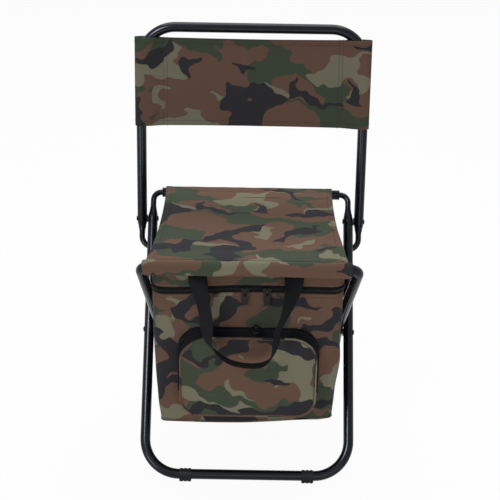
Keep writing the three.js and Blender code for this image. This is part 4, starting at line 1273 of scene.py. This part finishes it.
# Plan of the bag: height, half width in front on the left and right, half width behind, and rear face,
# in millimetres
BAG_PLAN = np.array([
    (0, 121.5, 119, 102, 84), (60, 129, 123.5, 105, 89), (98, 132.5, 127, 107, 92),
    (150, 133.5, 128.5, 109, 94), (253.9, 134.5, 130, 112, 96)]) * MM
BAG_FIT = [np.polyfit(BAG_PLAN[:, 0], column, 3) for column in BAG_PLAN.T[1:]]
BAG_CORNER_LOW = 6 * MM
BAG_CORNER_HIGH = 17 * MM
BAG_RUNS = (34, 70, 34, 46)
BAG_TURN = 10
BAG_EDGE = 2.5 * MM
SIDE_BULGE_SHARE = 0.45
BAG_SLACK = 3.6 * MM
BAG_SLACK_RISE = 92 * MM
BAG_SLACK_SPREAD = 24 * MM
WALL = 4.2 * MM
BAND = 2 * MM
BASE = 1.5 * MM
BASE_CORD_R = 1.3 * MM
BOARD_INSET = 14 * MM
BOARD_FACES = (4.6 * MM, 6.1 * MM)
ZIP_LAP = 1 * MM
ZIP_TAPE = 1 * MM
POCKET_TAPE = 0.6 * MM
# Folds of the front panel: place across, height, slope, width and depth, in millimetres
FRONT_FOLDS = (
    (-96, 262, 0.5, 9, -1.6), (-60, 258, -0.12, 10, 1.3), (70, 260, -0.28, 9, -1.5),
    (104, 205, 1.6, 10, 1.5), (-104, 190, -1.4, 10, 1.4), (10, 268, 0.05, 7, -0.9),
)
FOLD_REACH = 45 * MM


def bag_columns():
    """Panel of each column of the bag, from left round to rear, or -1 at a corner, and its share across."""
    panels, shares = [], []
    for panel, run in enumerate(BAG_RUNS):
        panels += [-1] * (BAG_TURN + 1) + [panel] * (run - 1)
        shares += [0] * (BAG_TURN + 1) + [k / run for k in range(1, run)]
    return np.array(panels), np.array(shares)


def bag_ring(z, grow=0.0):
    """Points round the bag at a height, from the rear left corner round by the front."""
    height = z - BAG_BASE_Z
    left, right, rear, back = (np.polyval(fit, height) for fit in BAG_FIT)
    right += BAG_SLACK * bell(height, BAG_SLACK_RISE, BAG_SLACK_SPREAD)
    back_y = CROSS.y + back + grow
    front_y = BAG_FRONT_Y - grow
    corners = [Vector((-rear - grow, back_y, z)), Vector((-left - grow, front_y, z)),
               Vector((right + grow, front_y, z)), Vector((rear + grow, back_y, z))]
    rise = float(soft_step(z, BAG_BASE_Z, BAG_BASE_Z + 120 * MM))
    radius = BAG_CORNER_LOW + (BAG_CORNER_HIGH - BAG_CORNER_LOW) * rise + grow
    return outline_points(corners, [max(radius, 1 * MM)] * 4, BAG_RUNS, BAG_TURN)


def base_sag(points):
    """How far the front of the base hangs down: most at its left and middle; its right corner turns up."""
    x, y, z = np.moveaxis(points, -1, 0)
    low = soft_step(z, BAG_BASE_Z + 70 * MM, BAG_BASE_Z)
    front = soft_step(y, BAG_FRONT_Y + 110 * MM, BAG_FRONT_Y)
    slope = 5.2 * MM * soft_step(x, 98 * MM, -15 * MM) - 1 * MM
    belly = 2.2 * MM * bell(x, -38 * MM, 48 * MM)
    waver = 0.5 * MM * np.sin(x / (21 * MM))
    corner = 3.5 * MM * soft_step(x, 96 * MM, 121 * MM)
    return -(slope + belly + waver - corner) * low * front


def zip_rise(points):
    """How far the zip line lies above its straight height: it dips most at the left front corner."""
    x, y = points[..., 0], points[..., 1]
    front = soft_step(y, BAG_FRONT_Y + 60 * MM, BAG_FRONT_Y)
    crest, dip = 0.35, 1.35
    shape = crest - dip * soft_step(x, 0, -110 * MM) - crest * soft_step(x, 40 * MM, 110 * MM)
    return bpy.context.scene.stool_sizes.zip_wave * shape * front


def bag_grid(levels, swell):
    """Rings of the bag at the given heights, each panel swollen by the given amount."""
    panels, shares = bag_columns()
    dome = np.where(panels < 0, 0, np.sin(np.pi * shares)) * np.where(panels % 2, 1, SIDE_BULGE_SHARE)
    return np.array([
        bag_ring(z) + outward_of(bag_ring, z) * (dome * swell(z))[:, None] for z in levels])


def cloth_uv(points, start=(0, 0)):
    """Cloth map of a grid that goes round: distance round its middle row, and distance down a column."""
    around = lengths_along(closed_up(points[len(points) // 2]))
    down = lengths_along(points[:, points.shape[1] // 2])
    return np.stack(np.meshgrid(down, around, indexing="ij")[::-1], axis=2) + start


def flatten_with_legs(piece, slot, *nodes, lean=0.0, height=ZIP_Z, keep=0.08):
    """Fixes a piece to the bag, hides the solids that it stands for, and gives the piece a mesh of its own;
    the lean is not used.
    """
    settle(piece, "bag", slot, *nodes)
    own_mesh(piece)


def zip_columns(ring):
    """Columns of the bag's ring that the zip runs along: the front and most of both sides."""
    return np.where(ring[:, 1] < ZIP_REAR_Y)[0]


def front_of(points, row):
    """The place (row, column) that is furthest in front in a row."""
    return row, np.argmin(points[row, :, 1])


class STOOL_OT_bag(bpy.types.Operator):
    """Make the cooler bag: walls, base, lid band, rear hinge strip, base board and piping"""

    bl_idname = "stool.bag"
    bl_label = "Cooler Bag"

    def execute(self, context):
        cloth = printed_oxford_polyester()
        self.walls(cloth, context.scene.stool_sizes.bag_bulge)
        self.base(cloth)
        self.lid_band(cloth)
        self.hinge_strip(cloth)
        return {"FINISHED"}

    @staticmethod
    def folds(points):
        """Soft folds of the front panel, and the waver of all the walls."""
        x, y, z = np.moveaxis(points, -1, 0)
        front = soft_step(y, BAG_FRONT_Y + 30 * MM, BAG_FRONT_Y + 4 * MM)
        total = np.zeros_like(x)
        for place, height, slope, width, depth in FRONT_FOLDS:
            off = ((z - height * MM) - slope * (x - place * MM)) / math.hypot(1, slope)
            near = bell(x, place * MM, FOLD_REACH)
            total += depth * MM * bell(off, 0, width * MM) * near * front
        wander = unevenness(y + x * 0.3, z, 38 * MM, 51.0)
        total += 1.2 * MM * wander * (1 - front) + 0.7 * MM * unevenness(x, z, 30 * MM, 57.0) * front
        under_zip = soft_step(z, ZIP_Z - 7 * MM, ZIP_Z - 25 * MM)
        over_base = soft_step(z, BAG_BASE_Z + 8 * MM, BAG_BASE_Z + 26 * MM)
        return total * (under_zip * over_base)

    def walls(self, cloth, bulge):
        """The printed walls with their foam lining, and the stitches at top and bottom."""
        top, low = ZIP_Z - ZIP_HALF, BAG_BASE_Z + BAG_EDGE

        def swell(z):
            return bulge * math.sin(math.pi * np.clip((z - low) / (top - low), 0, 1)) ** 0.8
        points = bag_grid(np.linspace(top, low, 74), swell)
        normals = grid_normals(points, True, front_of(points, 10), FRONT)
        points = points + normals * self.folds(points)[..., None]
        lift = soft_step(points[..., 2], top - 60 * MM, top)
        points[..., 2] += zip_rise(points) * lift + base_sag(points)
        walls = grid_piece("bag_walls", points, cloth, cloth_uv(points, CLOTH_CUT["walls"]), wrap=True)
        fix_thickness(thicken(walls, WALL, foil_faced_foam()))
        flatten_with_legs(walls, "camouflage_cloth", "bag_shell", "insulation_liner")
        edge, outward = stitch_line(points[2], normals[2])
        columns = zip_columns(edge)
        lines = [stitch_line(points[-2], normals[-2], ring=True), (edge[columns], outward[columns])]
        flatten_with_legs(stitch_piece("bag_stitches", lines), "camouflage_cloth")

    @staticmethod
    def base(cloth):
        """The base with its rounded rim, the piping round it, and the board that stiffens it."""
        low = BAG_BASE_Z + BAG_EDGE
        rings = []
        for a in np.linspace(0, math.pi / 2, 7):
            inset = BAG_EDGE * (1 - math.cos(a))
            rings.append(bag_ring(low, -inset) * (1, 1, 0) + (0, 0, low - BAG_EDGE * math.sin(a)))
        rim = rings[-1]
        middle = rim.mean(axis=0)
        dome = 0.8 * MM
        for share in np.linspace(1, 0.06, 12)[1:]:
            rings.append(middle + (rim - middle) * share + (0, 0, dome * (1 - share)))
        points = np.array(rings)
        points[..., 2] += base_sag(points)
        uv = closed_up(points, axis=1)[..., :2] + CLOTH_CUT["base"]
        piece = grid_piece("bag_base", points, cloth, uv, wrap=True, caps=(False, True))
        fix_thickness(thicken(piece, BASE))
        flatten_with_legs(piece, "camouflage_cloth", "bag_shell")
        line = bag_ring(low, BASE_CORD_R * -0.2)
        line[:, 2] += base_sag(line)
        cord = tube_piece("base_cord", [(p, BASE_CORD_R) for p in line], cloth, sides=12, loop=True)
        flatten_with_legs(cord, "piping", "base_piping")
        outline = bag_ring(low, -BOARD_INSET) * (1, 1, 0)
        board = np.array([outline + (0, 0, BAG_BASE_Z + height) for height in BOARD_FACES])
        stiffener = grid_piece("base_stiffener", board, grey_fibreboard(), wrap=True, caps=(True, True))
        flatten_with_legs(stiffener, "board", "base_board")

    @staticmethod
    def lid_band(cloth):
        """The strip above the zip, with its line of stitches."""
        low, high = ZIP_Z + ZIP_HALF, LID_TOP_Z - 0.6 * MM
        points = bag_grid(np.linspace(low, high, 22), lambda z: 0.5 * MM)
        drop = soft_step(points[..., 2], low + 30 * MM, low)
        points[..., 2] += zip_rise(points) * drop
        uv = cloth_uv(points, CLOTH_CUT["lid_band"])
        band = grid_piece("lid_band_cloth", points, cloth, uv, wrap=True)
        fix_thickness(thicken(band, BAND))
        flatten_with_legs(band, "camouflage_cloth", "lid_band")
        normals = grid_normals(points, True, front_of(points, 5), FRONT)
        columns = zip_columns(points[2])
        line = stitch_line(points[2, columns], normals[2, columns])
        flatten_with_legs(stitch_piece("lid_stitches", [line]), "camouflage_cloth")

    @staticmethod
    def hinge_strip(cloth):
        """The strip behind, where the lid turns and the zip ends."""
        levels = np.linspace(ZIP_Z + ZIP_HALF + ZIP_LAP, ZIP_Z - ZIP_HALF - ZIP_LAP, 5)
        points = bag_grid(levels, lambda z: 0)
        rear = np.where(points[0, :, 1] > ZIP_REAR_Y - 3 * MM)[0]
        points = points[:, across_start(rear, points.shape[1])]
        hinge = grid_piece("rear_hinge_strip", points, cloth, cloth_uv(points, CLOTH_CUT["hinge"]))
        fix_thickness(thicken(hinge, BAND))
        flatten_with_legs(hinge, "camouflage_cloth", "lid_hinge_strip")


class STOOL_OT_bag_zip(bpy.types.Operator):
    """Set the bag's zip: tape, coil, and the two sliders with their pulls"""

    bl_idname = "stool.bag_zip"
    bl_label = "Bag Zip"

    def execute(self, context):
        levels = np.linspace(ZIP_Z + ZIP_HALF + ZIP_LAP, ZIP_Z - ZIP_HALF - ZIP_LAP, 9)
        middle = len(levels) // 2
        set_in, coil_out = 0.5 * MM, 1 * MM
        points = np.array([bag_ring(z, -set_in) for z in levels])
        points[..., 2] += zip_rise(points)
        columns = zip_columns(points[middle])
        points = points[:, columns]
        tape = grid_piece("bag_zip_tape", points, knitted_zip_tape(), cloth_uv(points))
        thicken(tape, ZIP_TAPE)
        flatten_with_legs(tape, "zip_tape", "main_zip_tape")
        outward = outward_of(bag_ring, ZIP_Z)[columns]
        line = (points[middle] + outward * coil_out, outward)
        flatten_with_legs(coil_piece("bag_zip_coil", line), "zip_hardware", "main_zip_chain")
        for side in ("left", "right"):
            dress_slider(f"main_zip_{side}_slider")
            dress_slider(f"main_zip_{side}_pull")
        return {"FINISHED"}


def dress_slider(node):
    """Gives a slider or pull its paint and softens its cast edges."""
    part = frame["nodes"][node]
    part.data.materials.clear()
    part.data.materials.append(painted_zinc_slider())
    weld = part.modifiers.new("weld", "WELD")
    weld.merge_threshold = 0.01 * MM
    bevel = part.modifiers.new("cast_edge", "BEVEL")
    bevel.width = 0.35 * MM
    bevel.segments = 2
    bevel.limit_method = "ANGLE"
    bevel.angle_limit = math.radians(40)


# Pocket

POCKET_RUNS = (40, 60, 40, 60)
POCKET_TURN = 14
POCKET_FLARE = 5 * MM
PIPING_DEPTH = 22.5 * MM
POCKET_ZIP_DEPTH = 9.3 * MM
POCKET_SLOPE = 0.36
POCKET_DROOP = 0.9
POCKET_CORNERS = (34 * MM, 26 * MM, 26 * MM, 34 * MM)


def pocket_ring(depth, grow=0.0):
    """Outline of the pocket at a distance in front of the bag, flared sideways towards the bag."""
    half, low, top = POCKET_HALF + grow, POCKET_BASE_Z, POCKET_BASE_Z + POCKET_HEIGHT
    y = BAG_FRONT_Y - depth
    corners = [Vector((x, y, z)) for x, z in (
        (-half, top + grow), (-half, low - grow), (half, low - grow), (half, top + grow))]
    radii = [radius + grow for radius in POCKET_CORNERS]
    ring = outline_points(corners, radii, POCKET_RUNS, POCKET_TURN)
    flare = POCKET_FLARE * max(0, 1 - depth / PIPING_DEPTH) / POCKET_HALF
    upper = soft_step(ring[:, 2], low + POCKET_HEIGHT * 0.45, top)
    droop = 1 + POCKET_DROOP * soft_step(ring[:, 0], -46 * MM, -88 * MM)
    ring[:, 2] -= POCKET_SLOPE * (min(depth, PIPING_DEPTH) - POCKET_ZIP_DEPTH) * upper * droop
    return ring * (1 + flare, 1, 1)


class STOOL_OT_pocket(bpy.types.Operator):
    """Sew the front pocket: gusset, crowned face, piping and zip"""

    bl_idname = "stool.pocket"
    bl_label = "Front Pocket"

    def execute(self, context):
        sizes = context.scene.stool_sizes
        cloth = printed_oxford_polyester()
        self.gusset(cloth, sizes.cloth)
        self.face(cloth, sizes.cloth)
        self.zip()
        cord = [(p, sizes.piping / 2) for p in pocket_ring(PIPING_DEPTH, sizes.piping * 0.3)]
        piping = tube_piece("pocket_cord", cord, cloth, sides=14, loop=True)
        settle(piping, "bag", "piping", "pocket_piping")
        return {"FINISHED"}

    @staticmethod
    def gusset(cloth, thickness):
        """The pocket's side, all round."""
        depths = np.linspace(0.5 * MM, PIPING_DEPTH + 1 * MM, 18)
        points = np.array([pocket_ring(depth) for depth in depths])
        uv = cloth_uv(points, CLOTH_CUT["gusset"])
        gusset = grid_piece("pocket_gusset", points, cloth, uv, wrap=True)
        thicken(gusset, thickness)
        settle(gusset, "bag", "camouflage_cloth", "pocket_shell")

    @staticmethod
    def face(cloth, thickness):
        """The crowned front, in rings from its rim to its middle, with slack that dents it."""
        rim = pocket_ring(PIPING_DEPTH)
        middle = np.array([0, 0, POCKET_BASE_Z + POCKET_HEIGHT / 2])
        swell = 1 * MM
        crown = POCKET_DEPTH - PIPING_DEPTH - swell
        rings = []
        for share in [1, 0.992, 0.975, 0.95, *np.linspace(0.9, 0.05, 22)]:
            depth = PIPING_DEPTH + crown * (1 - share ** 7) + swell * (1 - share)
            ring = middle + (rim - middle) * share
            slack = unevenness(ring[:, 0], ring[:, 2], 42 * MM, 71.0)
            dent = 1.3 * MM * slack * soft_step(share, 0.97, 0.8)
            ring[:, 1] = BAG_FRONT_Y - depth + dent
            rings.append(ring)
        points = np.array(rings)
        uv = closed_up(points, axis=1)[..., (0, 2)] + CLOTH_CUT["pocket_face"]
        face = grid_piece("pocket_face", points, cloth, uv, wrap=True, caps=(False, True))
        thicken(face, thickness)
        settle(face, "bag", "camouflage_cloth", "pocket_shell")

    @staticmethod
    def zip():
        """Tape over the pocket's top and sides, with the coil along its middle."""
        middle = 4
        behind, reach = 6 * MM, PIPING_DEPTH - POCKET_ZIP_DEPTH - 1.4 * MM
        depths = POCKET_ZIP_DEPTH + np.concatenate([
            np.linspace(-behind, 0, middle, endpoint=False), np.linspace(0, reach, middle + 5)])
        stand_out = 0.7 * MM
        points = np.array([pocket_ring(depth, stand_out) for depth in depths])
        upper = np.where(points[0, :, 2] > POCKET_BASE_Z + 30 * MM)[0]
        columns = across_start(upper, points.shape[1])
        points = points[:, columns]
        tape = grid_piece("pocket_zip_band", points, knitted_zip_tape(), cloth_uv(points))
        thicken(tape, POCKET_TAPE)
        settle(tape, "bag", "zip_tape", "pocket_zip_tape")
        outward = outward_of(pocket_ring, depths[middle])[columns]
        line = (points[middle] + outward * stand_out, outward)
        settle(coil_piece("pocket_zip_coil", line), "bag", "zip_hardware", "pocket_zip_chain")
        dress_slider("pocket_zip_slider")
        dress_slider("pocket_zip_pull")


# Handle

# Lie of the webbing: place across, out from the bag's face and below the seat bar, in millimetres,
# and its turn in degrees
HANDLE_LINE = np.array([
    (-70, 1.9, -1, 0), (-70, 2.3, 12, 0), (-69, 8, 22.5, 5), (-64.5, 19, 36, 32),
    (-58.5, 31, 59, 45), (-55.5, 42, 79, 50), (-51.5, 51, 96, 70), (-40.5, 54, 109, 85),
    (-27, 54, 119.5, 89), (-11, 53, 125.5, 90), (6, 53, 127, 90), (21, 53, 124, 93),
    (31, 54, 114, 101), (36, 52, 98, 111), (39, 43, 79, 113), (49, 31, 59, 122),
    (57, 19, 36, 147), (60, 8, 22.5, 174), (60, 2.3, 12, 180), (60, 1.9, -1, 180),
])
HANDLE_PITCH = math.radians(14)


def unit_rows(vectors):
    """Each row of an array at length 1."""
    return vectors / np.linalg.norm(vectors, axis=1, keepdims=True)


def rounded(value, power):
    """A sine or cosine drawn out towards 1 and -1, for a section with flat sides."""
    return math.copysign(abs(value) ** power, value)


class STOOL_OT_handle(bpy.types.Operator):
    """Hang the webbing carry handle from under the front roll"""

    bl_idname = "stool.handle"
    bl_label = "Carry Handle"

    def execute(self, context):
        sizes = context.scene.stool_sizes
        line = smooth_line(HANDLE_LINE, 170)
        points = np.column_stack([
            line[:, 0] * MM, BAG_FRONT_Y - line[:, 1] * MM, FRONT_BAR.z - line[:, 2] * MM])
        turn = np.radians(line[:, 3])
        along = unit_rows(np.gradient(points, axis=0))
        wide = np.column_stack([
            np.cos(turn), -np.sin(turn) * math.cos(HANDLE_PITCH), np.sin(turn) * math.sin(HANDLE_PITCH)])
        wide = unit_rows(wide - along * np.sum(wide * along, axis=1, keepdims=True))
        thick = np.cross(along, wide)
        half_width, half_thick = sizes.webbing_width / 2, sizes.webbing_thickness / 2
        section = [
            (half_width * rounded(math.cos(a), 0.25), half_thick * rounded(math.sin(a), 0.6))
            for a in np.linspace(0, 2 * math.pi, 40, endpoint=False)]
        grid = np.array([[p + w * a + t * b for a, b in section] for p, w, t in zip(points, wide, thick)])
        across = closed_up(np.array([a for a, _ in section]))
        uv = np.stack(np.meshgrid(lengths_along(points), across, indexing="ij"), axis=2)
        handle = grid_piece(
            "handle_webbing", grid, woven_polypropylene_webbing(), uv, wrap=True, caps=(True, True))
        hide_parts("carry_handle", "handle_end_left", "handle_end_right")
        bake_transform(handle)
        return {"FINISHED"}


# Stage

WHITE = (1, 1, 1, 1)
FLOOR_HALF = 12.0
WORLD_LIGHT = 0.22
# Lamps: name, place, size, power, and whether for gloss only
LAMPS = (
    ("key_softbox", (-1.0, -1.62, 1.71), 0.5, 9, False),
    ("fill_softbox", (0.2, -0.95, 0.12), 0.7, 3.1, False),
    ("top_softbox", (0, 0.7, 2.4), 2.0, 49, False),
    ("leg_strip_light", (-1.05, -1.35, 1.85), 0.7, 46, True),
    ("post_strip_light", (-1.35, -1.65, 0.35), 0.7, 15, True),
)


def seen_rays(tree):
    """Whether the camera sees a surface, itself or in a reflection or through something."""
    rays = add_node(tree, "ShaderNodeLightPath").outputs
    seen = rays["Is Camera Ray"]
    for kind in ("Is Glossy Ray", "Is Transmission Ray"):
        seen = add_node(tree, "ShaderNodeMath", {0: seen, 1: rays[kind]}, operation="MAXIMUM").outputs[0]
    return seen


@made_once("materials")
def pale_studio_floor(name):
    """Matt white paper sweep, lifted towards white where it is seen, so that only a soft shadow is left."""
    material, tree, shader = new_material(name, {
        "Base Color": rgba(srgb("#efefef")), "Roughness": 0.9, "Specular IOR Level": 0.1})
    lift = 0.95
    share = add_node(tree, "ShaderNodeMath", {0: seen_rays(tree), 1: lift}, operation="MULTIPLY")
    glow = add_node(tree, "ShaderNodeEmission", {"Color": WHITE, "Strength": 1.0})
    mixed = add_node(tree, "ShaderNodeMixShader", {
        0: share.outputs[0], 1: shader.outputs[0], 2: glow.outputs[0]})
    output = next(node for node in tree.nodes if node.type == "OUTPUT_MATERIAL")
    set_inputs(tree, output, {"Surface": mixed.outputs[0]})
    return material


class STOOL_OT_stage(bpy.types.Operator):
    """Set the floor, the studio light and the camera"""

    bl_idname = "stool.stage"
    bl_label = "Stage"

    def execute(self, context):
        scene = context.scene
        scene.view_settings.view_transform = "Standard"
        corners = [(x * FLOOR_HALF, y * FLOOR_HALF, 0) for x, y in ((-1, -1), (1, -1), (1, 1), (-1, 1))]
        mesh = bpy.data.meshes.new("floor")
        mesh.from_pydata(corners, [], [(0, 1, 2, 3)])
        new_piece("floor", mesh, pale_studio_floor())
        self.world(scene)
        for name, place, size, power, gloss_only in LAMPS:
            self.lamp(name, place, size, power, gloss_only)
        self.camera(scene)
        return {"FINISHED"}

    @staticmethod
    def world(scene):
        """White where it is seen, and a faint light all round."""
        world = bpy.data.worlds.new("studio")
        scene.world = world
        world.use_nodes = True
        tree = world.node_tree
        tree.nodes.clear()
        strength = add_node(tree, "ShaderNodeMapRange", {
            "Value": seen_rays(tree), "To Min": WORLD_LIGHT, "To Max": 1.0})
        light = add_node(tree, "ShaderNodeBackground", {"Color": WHITE, "Strength": strength.outputs[0]})
        add_node(tree, "ShaderNodeOutputWorld", {0: light.outputs[0]})

    @staticmethod
    def lamp(name, place, size, power, gloss_only):
        """A square lamp aimed at the stool; one for gloss only makes highlights and lights nothing else."""
        data = bpy.data.lights.new(name, "AREA")
        data.size = size
        data.energy = power
        lamp = bpy.data.objects.new(name, data)
        lamp.visible_diffuse = not gloss_only
        lamp.location = place
        lamp.rotation_euler = (TARGET - Vector(place)).to_track_quat("-Z", "Y").to_euler()
        bpy.context.scene.collection.objects.link(lamp)

    @staticmethod
    def camera(scene):
        """The camera, a little rolled, as the photograph is."""
        data = bpy.data.cameras.new("photograph")
        data.lens = CAMERA_LENS
        data.sensor_width = CAMERA_SENSOR
        data.shift_y = CAMERA_SHIFT
        camera = bpy.data.objects.new("photograph", data)
        back = Vector((0, -math.cos(CAMERA_ELEVATION), math.sin(CAMERA_ELEVATION)))
        camera.location = TARGET + back * CAMERA_DISTANCE
        aim = (-back).to_track_quat("-Z", "Y").to_matrix() @ Matrix.Rotation(CAMERA_ROLL, 3, "Z")
        camera.rotation_euler = aim.to_euler()
        scene.collection.objects.link(camera)
        scene.camera = camera


class STOOL_PT_panel(bpy.types.Panel):
    """Pieces of the stool, in the order in which they are made"""

    bl_idname = "STOOL_PT_panel"
    bl_label = "Folding Cooler Stool"
    bl_space_type = "VIEW_3D"
    bl_region_type = "UI"
    bl_category = "Stool"

    def draw(self, context):
        for group in (context.scene.stool_sizes, context.scene.stool_colours):
            box = self.layout.box()
            for name in group.bl_rna.properties.keys():
                if name not in ("rna_type", "name"):
                    box.prop(group, name)
        for operator in OPERATORS:
            self.layout.operator(operator.bl_idname)


OPERATORS = (
    STOOL_OT_stage, STOOL_OT_tubes, STOOL_OT_fittings, STOOL_OT_feet, STOOL_OT_backrest_cover,
    STOOL_OT_seat_cover, STOOL_OT_bag, STOOL_OT_bag_zip, STOOL_OT_pocket, STOOL_OT_handle,
)
CLASSES = (StoolSizes, StoolColours, *OPERATORS, STOOL_PT_panel)


def register():
    for item in CLASSES:
        bpy.utils.register_class(item)
    bpy.types.Scene.stool_sizes = PointerProperty(type=StoolSizes)
    bpy.types.Scene.stool_colours = PointerProperty(type=StoolColours)


def unregister():
    del bpy.types.Scene.stool_colours
    del bpy.types.Scene.stool_sizes
    for item in reversed(CLASSES):
        bpy.utils.unregister_class(item)


def main():
    register()
    for operator in OPERATORS:
        group, name = operator.bl_idname.split(".")
        getattr(getattr(bpy.ops, group), name)()


if __name__ == "__main__":
    main()
